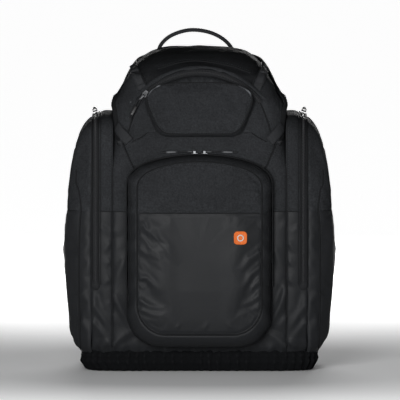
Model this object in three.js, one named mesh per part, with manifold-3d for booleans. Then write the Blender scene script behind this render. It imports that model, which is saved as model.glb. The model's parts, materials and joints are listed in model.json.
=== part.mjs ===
// Ski boot backpack: a tall load carrier with a hinged hood, a boot compartment on each side,
// a zipped front pocket and a padded harness. Millimetres, +Z up, front towards -Y.
// The origin is on the floor, under the middle of the base.
import * as THREE from "three";
import { mergeVertices } from "three/addons/utils/BufferGeometryUtils.js";
import Module from "manifold-3d";

const wasm = await Module();
wasm.setup();

// ---- Driving dimensions ---------------------------------------------------------------------
const BAG_HEIGHT = 590; // floor to the crown of the hood
const BAG_HALF_WIDTH = 248; // at the widest part of the boot compartments
const BACK_Y = 140; // outside face of the back panel
const FRONT_Y = -148; // outside face of the front panel
const WALL = 4; // padded fabric wall
const GAP = 0.3; // clearance between pieces that touch
const HEM_TOP = 35; // elasticated band round the base
const POCKET_TOP = 470; // crown of the boot compartments
const HALF_COLUMN = 160; // half width of the central column
const HALF_DOOR = 198; // plane of the boot compartment zips
const DOOR_HINGE_Z = 166; // lower end of the boot compartment zips
const DIVIDER_X = 125; // wall between the main and the boot compartments
const HINGE_Z = 422; // fold line of the hood across the front
const HOOD_TILT = THREE.MathUtils.degToRad(16); // lean of the hood's front face
const FLAP_HINGE_Z = 159; // lower end of the front pocket zip
const FACE_Y = -196; // face of the front pocket
const ZIP_LIFT = 0.4; // a zip tape lies this far off the fabric
const ZIP_TOP = 2.8; // and reaches this far off it
const FAR = 1000; // longer than the bag

const COLORS = {
  canvas: 0x242527,
  tarpaulin: 0x2c2d2f,
  webbing: 0x17181a,
  mesh: 0x1d1e20,
  plastic: 0x141415,
  metal: 0xb9bbbd,
  badge: 0xe8742c,
  lining: 0x4a4c50,
};
const ROUGHNESS = { tarpaulin: 0.45, plastic: 0.4, metal: 0.3, badge: 0.5 };

// Half width, front and back of the boot compartment body at each height.
const BODY_LEVELS = [
  [HEM_TOP, 217, -134, 134],
  [60, 228, -140, 138],
  [110, 241, -145, BACK_Y],
  [180, 247, FRONT_Y, BACK_Y],
  [260, BAG_HALF_WIDTH, FRONT_Y, BACK_Y],
  [350, 240, FRONT_Y, BACK_Y],
  [HINGE_Z, 226.5, FRONT_Y, BACK_Y],
  [448, 216, -142, 137],
  [462, 202, -128, 126],
  [POCKET_TOP, 178, -104, 106],
];
// The same for the central column and the hood above the fold line.
const hoodFront = (z) => FRONT_Y + (z - HINGE_Z) * Math.tan(HOOD_TILT);
const HOOD_LEVELS = [
  [HINGE_Z - 1, HALF_COLUMN, hoodFront(HINGE_Z - 1), BACK_Y],
  [488, HALF_COLUMN, hoodFront(488), BACK_Y],
  [498, 157, hoodFront(498), BACK_Y],
  [508, 149.5, hoodFront(508), BACK_Y],
  [522, 140, hoodFront(522), BACK_Y],
  [546, 127, hoodFront(546), 139],
  [565, 112, -90, 135],
  [580, 87, -54, 124],
  [587, 57, -12, 104],
  [BAG_HEIGHT, 24, 28, 74],
];
const BODY_CORNER = 0.3; // share of a section's half side taken by each corner
const HOOD_CORNER = 0.28;
const SHOULDER_DROP = 60; // the crown of a loft starts to round over this far below its top

// Cut between the hood and the fixed column, from the fold line at the front to the back.
const HOOD_CUT = [
  [FRONT_Y - 1, HINGE_Z],
  [-128, 430],
  [-125, 450],
  [-112, 480],
  [-95, 500],
  [-50, 522],
  [50, 547],
  [BACK_Y + 1, 568],
];

// ---- Solids ---------------------------------------------------------------------------------
// A three.js geometry as a manifold-3d solid.
function solid(geometry) {
  const bare = geometry.clone();
  bare.deleteAttribute("normal");
  bare.deleteAttribute("uv");
  const merged = mergeVertices(bare, 1e-4);
  return new wasm.Manifold(
    new wasm.Mesh({
      numProp: 3,
      vertProperties: merged.getAttribute("position").array,
      triVerts: new Uint32Array(merged.index.array),
    }),
  );
}

// A manifold-3d solid as a three.js geometry.
function geometryOf(body) {
  const mesh = body.getMesh();
  const geometry = new THREE.BufferGeometry();
  geometry.setAttribute("position", new THREE.BufferAttribute(mesh.vertProperties, 3));
  geometry.setIndex(new THREE.BufferAttribute(mesh.triVerts, 1));
  geometry.computeVertexNormals();
  return geometry;
}

// A box between two corners, as a solid.
function block([x0, y0, z0], [x1, y1, z1]) {
  const box = new THREE.BoxGeometry(x1 - x0, y1 - y0, z1 - z0);
  return solid(box.translate((x0 + x1) / 2, (y0 + y1) / 2, (z0 + z1) / 2));
}

// A flat outline [x, y] extruded along +Z.
function prism(outline, depth, holes = [], curveSegments = 4) {
  const drawn = outline instanceof THREE.Shape;
  const shape = drawn ? outline : new THREE.Shape(outline.map((p) => new THREE.Vector2(...p)));
  shape.holes = holes;
  return new THREE.ExtrudeGeometry(shape, { depth, bevelEnabled: false, curveSegments });
}

// An outline in the side view, [y, z], extruded along +X from x0 to x1.
function sideProfile(outline, x0, x1) {
  const geometry = prism(outline, x1 - x0);
  const axes = new THREE.Matrix4().makeBasis(
    new THREE.Vector3(0, 1, 0),
    new THREE.Vector3(0, 0, 1),
    new THREE.Vector3(1, 0, 0),
  );
  return geometry.applyMatrix4(axes).translate(x0, 0, 0);
}

// The outline of a band of even thickness along a smooth centre line.
function band(points, thickness, divisions = 16) {
  const curve = new THREE.SplineCurve(points.map((p) => new THREE.Vector2(...p)));
  const sides = [1, -1].map((side) =>
    curve.getPoints(divisions).map((p, i) => {
      const along = curve.getTangent(i / divisions);
      return [p.x - (along.y * side * thickness) / 2, p.y + (along.x * side * thickness) / 2];
    }),
  );
  return [...sides[1], ...sides[0].reverse()];
}

function roundedRectangle(width, height, radius) {
  const [x, y] = [width / 2, height / 2];
  const shape = new THREE.Shape();
  shape.moveTo(-x + radius, -y);
  shape.lineTo(x - radius, -y);
  shape.absarc(x - radius, -y + radius, radius, -Math.PI / 2, 0);
  shape.lineTo(x, y - radius);
  shape.absarc(x - radius, y - radius, radius, 0, Math.PI / 2);
  shape.lineTo(-x + radius, y);
  shape.absarc(-x + radius, y - radius, radius, Math.PI / 2, Math.PI);
  shape.lineTo(-x, -y + radius);
  shape.absarc(-x + radius, -y + radius, radius, Math.PI, Math.PI * 1.5);
  return shape;
}

// Levels of the surface that lies this far outside a loft (inside, if negative).
function offset(levels, by) {
  const top = levels.at(-1)[0];
  return levels.map(([z, half, front, back]) => {
    const share = THREE.MathUtils.clamp((z - top + SHOULDER_DROP) / SHOULDER_DROP, 0, 1);
    return [z + by * share, half + by, front - by, back + by];
  });
}

// A solid whose level sections are rounded rectangles of the given sizes.
function loft(levels, corner) {
  const steps = levels.length - 1;
  const geometry = new THREE.ExtrudeGeometry(roundedRectangle(2, 2, corner), {
    depth: steps,
    steps,
    bevelEnabled: false,
    curveSegments: 3,
  });
  const at = geometry.getAttribute("position");
  for (let i = 0; i < at.count; i++) {
    const [z, half, front, back] = levels[Math.round(at.getZ(i))];
    const middle = (front + back) / 2;
    at.setXYZ(i, at.getX(i) * half, middle + (at.getY(i) * (back - front)) / 2, z);
  }
  return solid(geometry);
}

// A loft as a wall that is open at the bottom.
function openShell(levels, corner) {
  const inner = offset(levels, -WALL);
  inner[0][0] -= HEM_TOP;
  return loft(levels, corner).subtract(loft(inner, corner));
}

// The space just outside a loft that a tape or a strap on it fills.
function skin(levels, corner, from, to) {
  const outer = offset(levels, to);
  const inner = offset(levels, from);
  inner[0][0] -= 1;
  return loft(outer, corner).subtract(loft(inner, corner));
}

const mirrored = (body) => body.mirror([1, 0, 0]);

// ---- The scene graph ------------------------------------------------------------------------
const bag = new THREE.Group();

function add(name, geometry, material, parent = bag) {
  const mesh = new THREE.Mesh(
    geometry.isBufferGeometry ? geometry : geometryOf(geometry),
    new THREE.MeshStandardMaterial({
      color: COLORS[material],
      roughness: ROUGHNESS[material] ?? 0.85,
      metalness: material === "metal" ? 0.9 : 0,
    }),
  );
  mesh.name = name;
  parent.add(mesh);
  return mesh;
}

// Adds NAME_right as made and NAME_left as its mirror image.
function addPair(name, body, material, parent = bag) {
  add(`${name}_right`, body, material, parent);
  add(`${name}_left`, mirrored(body), material, parent);
}

// ---- Body: panels sewn edge to edge ---------------------------------------------------------
const bodyShell = openShell(BODY_LEVELS, BODY_CORNER);
const HEM_SPACE = [
  [9, 204, -120, 122],
  [HEM_TOP, 207, -124, 126],
];

// Everything above (or below) the hood's cut, from side to side.
function hoodSide(above, drop = 0) {
  const line = HOOD_CUT.map(([y, z]) => [y, z - drop]);
  const [first, last] = [line[0], line.at(-1)];
  const edge = above ? FAR : -FAR;
  const outline = [[-FAR, first[1]], ...line, [FAR, last[1]], [FAR, edge], [-FAR, edge]];
  return solid(sideProfile(above ? outline : outline.reverse(), -FAR, FAR));
}

function bodyPanels() {
  const inColumn = HALF_COLUMN - GAP;
  const besideColumn = HALF_COLUMN + 2 * GAP;
  const front = block([-inColumn, -FAR, HEM_TOP], [inColumn, 0, HINGE_Z - GAP]);
  add("front_panel", bodyShell.intersect(front), "tarpaulin");

  const gussetZone = block([besideColumn, -FAR, DOOR_HINGE_Z + GAP], [HALF_DOOR - GAP, FAR, FAR]);
  addPair("boot_gusset", bodyShell.intersect(gussetZone), "canvas");
  const cupZone = block([besideColumn, -FAR, HEM_TOP], [FAR, FAR, DOOR_HINGE_Z - GAP]);
  addPair("boot_cup", bodyShell.intersect(cupZone), "tarpaulin");
  const doorZone = block([HALF_DOOR + GAP, -FAR, DOOR_HINGE_Z + GAP], [FAR, FAR, FAR]);
  addPair("boot_door", bodyShell.intersect(doorZone), "canvas");
}

function columnPanels() {
  const shell = openShell(HOOD_LEVELS, HOOD_CORNER);
  const fixed = shell.intersect(hoodSide(false, GAP));
  const collarBack = 100;
  const lowerBack = bodyShell.intersect(
    block([-HALF_COLUMN + GAP, 0, HEM_TOP], [HALF_COLUMN - GAP, FAR, HINGE_Z]),
  );
  const upperBack = fixed.intersect(
    block([-FAR, collarBack + GAP, HINGE_Z - 1], [FAR, FAR, FAR]),
  );
  add("back_panel", lowerBack.add(upperBack), "tarpaulin");
  const collarZone = block([0, -FAR, HINGE_Z], [FAR, collarBack - GAP, FAR]);
  addPair("collar", fixed.intersect(collarZone), "canvas");
  add("hood_shell", shell.intersect(hoodSide(true)), "canvas");
}

function basePieces() {
  const hemLevels = [
    [0, 212, -130, 132],
    [8, 216, -134, 136],
    [26, 217, -135, 136],
    [HEM_TOP - GAP, 215, -132, 133],
  ];
  const [hemWall, overrun] = [6, 5];
  const inside = offset(hemLevels, -hemWall);
  inside[0][0] -= overrun;
  inside.at(-1)[0] += hemWall + overrun;
  const hem = loft(hemLevels, BODY_CORNER).subtract(loft(inside, BODY_CORNER));
  add("base_hem", hem, "webbing");
  const floor = offset(hemLevels, -hemWall - GAP).slice(0, 2);
  floor[0][0] = 0;
  floor[1] = [5, ...floor[0].slice(1)];
  add("base_panel", loft(floor, BODY_CORNER), "tarpaulin");
}

function insidePieces() {
  const [sheet, ceiling] = [3, 462];
  const backEdge = 130;
  const body = offset(BODY_LEVELS, -WALL - GAP);
  body[0][0] += GAP;
  const column = loft(offset(HOOD_LEVELS, -WALL - GAP), HOOD_CORNER);
  const wall = block([DIVIDER_X, -FAR, 0], [DIVIDER_X + sheet, backEdge, HINGE_Z]);
  const upper = block([DIVIDER_X, -118, HINGE_Z - 3], [DIVIDER_X + sheet, backEdge, ceiling + sheet]);
  const shelf = block([DIVIDER_X, -95, ceiling], [FAR, backEdge, ceiling + sheet]);
  const lower = loft([...HEM_SPACE, ...body], BODY_CORNER).intersect(wall);
  const sewnTop = loft(body, BODY_CORNER).intersect(column).intersect(upper.add(shelf));
  addPair("divider", lower.add(sewnTop), "lining");
  const stiffener = prism(roundedRectangle(230, 480, 40), 2.5);
  stiffener.rotateX(Math.PI / 2).translate(0, 133.5, 300);
  add("frame_sheet", stiffener, "plastic");
}

// ---- Zips, sliders and pullers --------------------------------------------------------------
const SLIDER = { length: 12, width: 9, plate: 2.2, bar: 5, barRadius: 0.8, post: 1.6 };
const PULLER = { eyeRadius: 2.2, eyeHole: 1.3, eyeWidth: 5, tab: 16, thick: 1.8 };

const cylinderAlongY = (radius, length) => solid(new THREE.CylinderGeometry(radius, radius, length, 8));

// A zip slider at the origin: it runs along X, with its face towards +Z and its bar along Y.
function sliderBody() {
  const { length, width, plate, bar, barRadius, post } = SLIDER;
  const [l, w] = [length / 2, width / 2];
  const nose = w - 1.5;
  const half = [[-l, nose], [-l + 3, w], [l - 1, w], [l, w - 1]];
  const outline = [...half.map(([x, y]) => [x, -y]), ...half.toReversed()];
  const uprights = [-1, 1].map((side) => {
    const middle = side * (w - post / 2 - 0.2);
    return block([-2, middle - post / 2, 0], [2, middle + post / 2, bar + barRadius]);
  });
  const rod = cylinderAlongY(barRadius, width - 1).translate([0, 0, bar]);
  return solid(prism(outline, plate)).add(uprights[0]).add(uprights[1]).add(rod);
}

// A puller whose eye is round the origin: a tab along +X, then a cord loop turned by bend.
function pullerBody(cordLength, bend = 0) {
  const { eyeRadius, eyeHole, eyeWidth, tab, thick } = PULLER;
  const eye = cylinderAlongY(eyeRadius, eyeWidth).subtract(cylinderAlongY(eyeHole, eyeWidth + 1));
  const plate = block([eyeHole + 0.4, -eyeWidth / 2, -thick / 2], [tab, eyeWidth / 2, thick / 2]);
  const [loopWidth, cord] = [8.4, 2.6];
  const hole = roundedRectangle(cordLength - 2 * cord, loopWidth - 2 * cord, loopWidth / 2 - cord - 0.05);
  const ring = prism(roundedRectangle(cordLength, loopWidth, loopWidth / 2 - 0.05), cord, [hole], 2);
  ring.translate(cordLength / 2 - 3, 0, -cord / 2);
  ring.rotateZ(bend).translate(tab, 0, 0);
  return eye.add(plate).add(solid(ring));
}

// A slider and its puller in a group that puts them on their zip. The puller lies flat.
function addZipPull(name, { cord, bend = 0, reversed = false }) {
  const group = new THREE.Group();
  add(`${name}_slider`, sliderBody(), "metal", group);
  const puller = geometryOf(pullerBody(cord, bend));
  puller.rotateZ(reversed ? Math.PI : 0).translate(0, 0, SLIDER.bar);
  add(`${name}_puller`, puller, "webbing", group);
  bag.add(group);
  return group;
}

function bootZips() {
  const tape = 8;
  const zone = block([HALF_DOOR - GAP - tape, -FAR, DOOR_HINGE_Z], [HALF_DOOR - GAP, FAR, FAR]);
  addPair("boot_zip", skin(BODY_LEVELS, BODY_CORNER, ZIP_LIFT, ZIP_TOP).intersect(zone), "webbing");
  const crown = { x: 193, z: 469.1, lean: THREE.MathUtils.degToRad(19.2), parked: 60 };
  for (const [side, sign] of [["right", 1], ["left", -1]]) {
    const pull = addZipPull(`boot_${side}`, { cord: 34 });
    const lean = new THREE.Matrix4().makeRotationY(sign * crown.lean);
    const turn = new THREE.Matrix4().makeRotationZ(Math.PI / 2);
    pull.applyMatrix4(lean.multiply(turn));
    pull.position.set(sign * crown.x, crown.parked, crown.z);
  }
}

function mainZip() {
  const tape = 8;
  const clearOfGussets = block([-FAR, -FAR, POCKET_TOP + 3], [FAR, FAR, FAR]);
  const strip = skin(HOOD_LEVELS, HOOD_CORNER, ZIP_LIFT, ZIP_TOP)
    .intersect(hoodSide(false, GAP))
    .intersect(hoodSide(true, tape))
    .intersect(clearOfGussets);
  add("main_zip", strip, "webbing");
  const rear = { x: -40, y: 138.9, z: 563.1, lean: 0.199 };
  const pull = addZipPull("main", { cord: 30, bend: Math.PI / 2 });
  pull.rotation.set(rear.lean - Math.PI / 2, 0, 0);
  pull.position.set(rear.x, rear.y, rear.z);
}

// ---- Front pocket ---------------------------------------------------------------------------
const POCKET = { half: 131, low: 50, high: 399, arch: 330, scaleCentre: 303, lowCorner: 62 };
// Depth of each section of the pocket and how much narrower it is than at the body.
const POCKET_SECTIONS = [[-118, 1], [-160, 1], [-176, 0.975], [-188, 0.93], [FACE_Y, 0.865]];
const archCentreZ = POCKET.high - POCKET.arch;

function pocketOutline(grow) {
  const { half, low, arch, lowCorner } = POCKET;
  const [x, z, turn] = [half + grow, low - grow, lowCorner + grow];
  const archX = 75;
  const end = Math.asin(archX / arch);
  const radius = arch + grow;
  const shape = new THREE.Shape();
  shape.moveTo(-x + turn, z);
  shape.lineTo(x - turn, z);
  shape.absarc(x - turn, z + turn, turn, -Math.PI / 2, 0);
  shape.lineTo(x, 345);
  shape.quadraticCurveTo(x, 377 + grow, radius * Math.sin(end), archCentreZ + radius * Math.cos(end));
  shape.absarc(0, archCentreZ, radius, Math.PI / 2 - end, Math.PI / 2 + end);
  shape.quadraticCurveTo(-x, 377 + grow, -x, 345);
  shape.lineTo(-x, z + turn);
  shape.absarc(-x + turn, z + turn, turn, Math.PI, Math.PI * 1.5);
  return shape;
}

// The pocket as a solid; inset makes the hollow inside it.
function pocketSolid(inset) {
  const steps = POCKET_SECTIONS.length - 1;
  const geometry = new THREE.ExtrudeGeometry(pocketOutline(-inset), {
    depth: steps,
    steps,
    bevelEnabled: false,
    curveSegments: 5,
  });
  const at = geometry.getAttribute("position");
  for (let i = 0; i < at.count; i++) {
    const [y, across] = POCKET_SECTIONS[Math.round(at.getZ(i))];
    const upward = 1 - (1 - across) * 0.69;
    const z = POCKET.scaleCentre + (at.getY(i) - POCKET.scaleCentre) * upward;
    at.setXYZ(i, at.getX(i) * across, y + inset * (y < -150 ? 1 : -4), z);
  }
  return solid(geometry);
}

function frontPocket() {
  const behind = loft(offset(BODY_LEVELS, GAP), BODY_CORNER);
  const shell = pocketSolid(0).subtract(pocketSolid(WALL)).subtract(behind);
  const below = block([-FAR, -FAR, 0], [FAR, FAR, FLAP_HINGE_Z - GAP]);
  const above = block([-FAR, -FAR, FLAP_HINGE_Z + GAP], [FAR, FAR, FAR]);
  add("front_pocket_base", shell.intersect(below), "tarpaulin");
  add("front_pocket_flap", shell.intersect(above), "tarpaulin");

  const tape = [-161, -152];
  const ring = prism(pocketOutline(ZIP_TOP), tape[1] - tape[0], [pocketOutline(ZIP_LIFT)], 5);
  ring.rotateX(Math.PI / 2).translate(0, tape[1], 0);
  add("front_pocket_zip", solid(ring).intersect(above), "webbing");

  const badge = prism(roundedRectangle(24, 24, 7), 2);
  badge.rotateX(Math.PI / 2).translate(75, FACE_Y - GAP, 251);
  add("badge", badge, "badge");

  const parked = 9;
  for (const [side, sign] of [["right", 1], ["left", -1]]) {
    const pull = addZipPull(`front_${side}`, { cord: 46, reversed: sign < 0 });
    const angle = (sign * parked) / POCKET.arch;
    const radius = POCKET.arch + ZIP_TOP + GAP;
    pull.rotation.set(0, angle, 0);
    const [x, z] = [radius * Math.sin(angle), archCentreZ + radius * Math.cos(angle)];
    pull.position.set(x, (tape[0] + tape[1]) / 2, z);
  }
}

// ---- Hood: goggle pocket, its zip and the webbing loops -------------------------------------
// The goggle pocket is drawn on the hood's leaning front face, with v up the face from the fold.
const GOGGLE = { radius: 131, centreV: -4.2, lift: 0.6, depth: 17, wall: 3 };

function goggleOutline(inset) {
  const { radius, centreV } = GOGGLE;
  const low = 10 + inset;
  const edge = 101 - inset;
  const arc = radius - inset;
  const end = Math.acos(edge / arc);
  const shape = new THREE.Shape();
  shape.moveTo(-60, low);
  shape.lineTo(60, low);
  shape.quadraticCurveTo(75 - inset, low, 85 - inset, 32);
  shape.quadraticCurveTo(edge, 62, edge, centreV + arc * Math.sin(end));
  shape.absarc(0, centreV, arc, end, Math.PI - end, false);
  shape.quadraticCurveTo(-edge, 62, -85 + inset, 32);
  shape.quadraticCurveTo(-75 + inset, low, -60, low);
  return shape;
}

function ringSegment(inner, outer, halfAngle, depth) {
  const [from, to] = [Math.PI / 2 - halfAngle, Math.PI / 2 + halfAngle];
  const shape = new THREE.Shape();
  shape.absarc(0, 0, outer, from, to, false);
  shape.absarc(0, 0, inner, to, from, true);
  return prism(shape, depth, [], 10);
}

function hoodFittings() {
  const face = new THREE.Group();
  face.rotation.x = Math.PI / 2 - HOOD_TILT;
  face.position.set(0, FRONT_Y, HINGE_Z);
  bag.add(face);
  const { radius, centreV, lift, depth, wall } = GOGGLE;
  const outer = solid(prism(goggleOutline(0), depth - lift, [], 7).translate(0, 0, lift));
  const hollow = solid(prism(goggleOutline(wall), depth - lift, [], 7).translate(0, 0, lift - wall));
  add("goggle_pocket", outer.subtract(hollow), "canvas", face);

  const zip = { inner: radius + 1.5, outer: radius + 12, sweep: THREE.MathUtils.degToRad(50) };
  const tape = ringSegment(zip.inner, zip.outer, zip.sweep, 2.2).translate(0, centreV, lift);
  add("goggle_zip", tape, "webbing", face);
  const pull = addZipPull("goggle", { cord: 42, bend: 0.3, reversed: true });
  const parked = THREE.MathUtils.degToRad(46);
  const track = (zip.inner + zip.outer) / 2;
  pull.rotation.set(0, 0, parked);
  pull.position.set(-track * Math.sin(parked), centreV + track * Math.cos(parked), lift + 2.2 + GAP);
  face.add(pull);

  const strap = skin(HOOD_LEVELS, HOOD_CORNER, 0.6, 3.2);
  const patch = (size, at, lean) => {
    const box = new THREE.BoxGeometry(...size).rotateY(lean).translate(...at);
    return strap.intersect(solid(box));
  };
  addPair("helmet_loop", patch([24, 80, 30], [112, -95, 533], -0.5), "webbing");
  addPair("zip_tab", patch([22, 60, 26], [137, -135, 447], 0.6), "webbing");
}

// ---- Harness --------------------------------------------------------------------------------
const STRAP_SIDE = [[146.3, 516], [168, 508], [184, 482], [195, 430], [197, 380], [192, 310], [176, 236]];
const strapX = (z) => 55 + 67 * THREE.MathUtils.clamp((518 - z) / 282, 0, 1.6) ** 1.2;

// Slides each point of a geometry sideways to follow the shoulder strap's line.
function followStrap(geometry) {
  const at = geometry.getAttribute("position");
  for (let i = 0; i < at.count; i++) at.setX(i, at.getX(i) + strapX(at.getZ(i)));
  return solid(geometry);
}

function shoulderStraps() {
  const half = 31;
  addPair("shoulder_strap", followStrap(sideProfile(band(STRAP_SIDE, 12), -half, half)), "mesh");
  const lock = prism(roundedRectangle(38, 26, 3), 6, [
    roundedRectangle(28, 5, 1),
  ]);
  lock.rotateX(Math.PI / 2).rotateX(-0.28).translate(126, 176, 219);
  addPair("ladder_lock", solid(lock), "plastic");
  const webbing = sideProfile(band([[168, 203], [158, 185], [146, 170], [141.6, 160]], 2, 8), -12.5, 12.5);
  addPair("strap_webbing", followStrap(webbing), "webbing");
}

function backPads() {
  const pad = solid(prism(roundedRectangle(236, 280, 34), 16).rotateX(Math.PI / 2).translate(0, 156.4, 360));
  const channel = block([-16, 148, 0], [16, FAR, FAR]);
  add("back_pad", pad.subtract(channel), "mesh");
  const lumbar = prism(roundedRectangle(230, 124, 30), 21).rotateX(Math.PI / 2).translate(0, 161.4, 124);
  add("lumbar_pad", lumbar, "mesh");
}

// The two halves of a side-release buckle, [female, male], joined at the origin and lying along X.
function buckle(width, thick) {
  const [h, t] = [width / 2, thick / 2];
  const socket = t - 1.6;
  const female = block([-24, -t, -h], [5, t, h]).subtract(block([-18, -socket, -h + 4], [6, socket, h - 4]));
  const stem = block([5 + GAP, -t, -h], [26, t, h]);
  const prongs = [-1, 1].map((side) => {
    const z = side * (h - 7);
    return block([-12, -socket + GAP, z - 2], [6, socket - GAP, z + 2]);
  });
  const slots = [11, 19].map((x) => block([x, -thick, -h + 3.5], [x + 4, thick, h - 3.5]));
  const male = stem.add(prongs[0]).add(prongs[1]).subtract(slots[0]).subtract(slots[1]);
  return [female, male];
}

function sternumStrap() {
  const [y, z, width, thick] = [204.9, 400, 20, 7];
  const ahead = y + 0.8 + GAP + thick / 2;
  const [female, male] = buckle(26, thick).map((half) => half.translate([0, ahead, z]));
  add("sternum_buckle_female", female, "plastic");
  add("sternum_buckle_male", male, "plastic");
  const [low, high] = [z - width / 2, z + width / 2];
  add("sternum_webbing_left", block([-112, y - 0.8, low], [-6, y + 0.8, high]), "webbing");
  add("sternum_webbing_right", block([9, y - 0.8, low], [112, y + 0.8, high]), "webbing");
}

function hipBelt() {
  const [low, high, y, thick] = [72, 150, 196.7, 10];
  const line = [[116, 150], [160, 152], [198, 159], [224, 171]];
  const wing = prism(band(line, 12, 8), high - low).translate(0, 0, low);
  addPair("hip_wing", solid(wing), "mesh");
  const [webLow, webHigh] = [92, 130];
  const route = (end) => [[231, 175], [235, 185], [226, 193], [198, y], [120, y], [end, y]];
  const strip = (end) => solid(prism(band(route(end), 2, 20), webHigh - webLow).translate(0, 0, webLow));
  addPair("hip_webbing", strip(7), "webbing");
  const ahead = y + 1 + GAP + thick / 2;
  const [female, male] = buckle(48, thick).map((half) => half.translate([0, ahead, (webLow + webHigh) / 2]));
  add("hip_buckle_female", female, "plastic");
  add("hip_buckle_male", male, "plastic");
}

function carryHandle() {
  const footZ = 548;
  const left = [[-76, footZ], [-76, 572], [-67, 590], [-46, 605]];
  const right = [[20, 609.5], [44, 597], [60, 580], [65, 562], [65, footZ]];
  const strip = prism(band([...left, [-14, 613], ...right], 7, 24), 20);
  strip.rotateX(Math.PI / 2).translate(0, 163.8, 0);
  add("carry_handle", strip, "webbing");
}

bodyPanels();
columnPanels();
basePieces();
insidePieces();
bootZips();
mainZip();
frontPocket();
hoodFittings();
shoulderStraps();
backPads();
sternumStrap();
hipBelt();
carryHandle();

export default bag;
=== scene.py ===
import json
import math

import bmesh
import bpy
import numpy as np
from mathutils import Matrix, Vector
from mathutils.bvhtree import BVHTree


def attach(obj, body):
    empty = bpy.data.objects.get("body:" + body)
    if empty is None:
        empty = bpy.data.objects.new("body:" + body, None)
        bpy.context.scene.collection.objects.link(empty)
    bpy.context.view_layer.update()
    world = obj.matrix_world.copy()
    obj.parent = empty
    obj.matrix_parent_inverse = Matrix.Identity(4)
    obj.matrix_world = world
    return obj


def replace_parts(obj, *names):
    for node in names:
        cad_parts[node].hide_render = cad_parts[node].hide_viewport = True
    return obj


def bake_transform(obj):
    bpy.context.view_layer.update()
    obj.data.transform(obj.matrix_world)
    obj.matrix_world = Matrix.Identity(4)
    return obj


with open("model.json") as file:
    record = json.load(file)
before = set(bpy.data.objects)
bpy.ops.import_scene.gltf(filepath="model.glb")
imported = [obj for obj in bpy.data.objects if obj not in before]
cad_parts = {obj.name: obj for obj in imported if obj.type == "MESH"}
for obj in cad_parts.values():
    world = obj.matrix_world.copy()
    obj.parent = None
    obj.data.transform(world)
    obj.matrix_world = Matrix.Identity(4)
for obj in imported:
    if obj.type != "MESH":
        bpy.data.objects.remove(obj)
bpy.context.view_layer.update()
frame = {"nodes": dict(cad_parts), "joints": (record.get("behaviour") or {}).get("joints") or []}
MM = 0.001
SCENE = bpy.context.scene
RNG = np.random.default_rng(7)

# ---- Driving dimensions ---------------------------------------------------------------------
HINGE_Z = 422
FRONT_Y = -148
SPLIT_Z = 296
HALF_COLUMN = 160
HALF_DOOR = 198
DOOR_HINGE_Z = 166
FLAP_HINGE_Z = 159
HOOD_TILT = math.radians(16)
BODY_LEVELS = [
    [33, 216, -133, 134], [60, 228, -140, 138], [110, 241, -145, 140], [180, 247, -148, 140],
    [260, 248, -148, 140], [350, 240, -148, 140], [422, 226.5, -148, 140], [448, 216, -142, 137],
    [462, 202, -128, 126], [470, 178, -104, 106],
]
BACK_Y = 140
POCKET_Z = 226
CROWN_Z = 592
PAD_BACK_Y = 140.2


def tilted_front(z):
    """The front of the hood leans back from its hinge."""
    return FRONT_Y + (z - HINGE_Z) * math.tan(HOOD_TILT)


HOOD_SHOULDER = [(380, 160), (488, 160), (498, 157), (508, 149.5), (522, 140)]
HOOD_LEVELS = [
    *[[z, half, tilted_front(z), BACK_Y] for z, half in HOOD_SHOULDER],
    [546, 127, tilted_front(546), 139], [565, 112, -90, 135], [580, 87, -54, 124],
    [587, 57, -12, 104], [590, 24, 28, 74],
]
HOOD_CUT = [
    [-149, 422], [-128, 430], [-125, 450], [-112, 480], [-95, 500], [-50, 522], [50, 547], [141, 568],
]


# ---- Numbers --------------------------------------------------------------------------------
def smoothstep(x, low, high):
    t = np.clip((x - low) / (high - low), 0, 1)
    return t * t * (3 - 2 * t)


def unit(v):
    return v / np.maximum(np.linalg.norm(v, axis=-1, keepdims=True), 1e-9)


def resample(points, count, closed=False):
    """The same line with its points at equal steps along its length."""
    p = np.asarray(points, float)
    p = np.vstack([p, p[:1]]) if closed else p
    along = np.r_[0, np.cumsum(np.linalg.norm(np.diff(p, axis=0), axis=1))]
    at = np.linspace(0, along[-1], count, endpoint=not closed)
    return np.stack([np.interp(at, along, column) for column in p.T], axis=1)


def curve(points, count, closed=False):
    """A smooth curve through the points."""
    p = np.asarray(points, float)
    if closed:
        ends = np.vstack([p[-1:], p, p[:2]])
    else:
        ends = np.vstack([2 * p[0] - p[1], p, 2 * p[-1] - p[-2]])
    t = np.linspace(0, 1, 16, endpoint=False)[:, None]
    parts = []
    for a, b, c, d in zip(ends, ends[1:], ends[2:], ends[3:]):
        bends = (2 * a - 5 * b + 4 * c - d) * t**2 + (3 * b - a - 3 * c + d) * t**3
        parts.append(0.5 * (2 * b + (c - a) * t + bends))
    dense = np.vstack(parts if closed else [*parts, p[-1:]])
    return resample(dense, count, closed)


def length_of(path):
    return float(np.linalg.norm(np.diff(path, axis=0), axis=1).sum())


def near(a, b, line):
    """How far each point (a, b) is from a line, on which side, and its share of the way along."""
    line = np.asarray(line, float)
    best = np.full(np.shape(a), 1e9)
    side, share = np.zeros(np.shape(a)), np.zeros(np.shape(a))
    steps = np.linalg.norm(np.diff(line, axis=0), axis=1)
    total, done = steps.sum(), 0.0
    for (a0, b0), (a1, b1), step in zip(line, line[1:], steps):
        da, db = (a1 - a0) / step, (b1 - b0) / step
        t = np.clip((a - a0) * da + (b - b0) * db, 0, step)
        far = np.hypot(a - a0 - t * da, b - b0 - t * db)
        closer = far < best
        best = np.where(closer, far, best)
        side = np.where(closer, (a - a0) * db - (b - b0) * da, side)
        share = np.where(closer, (done + t) / total, share)
        done += step
    return best, side, share


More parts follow.
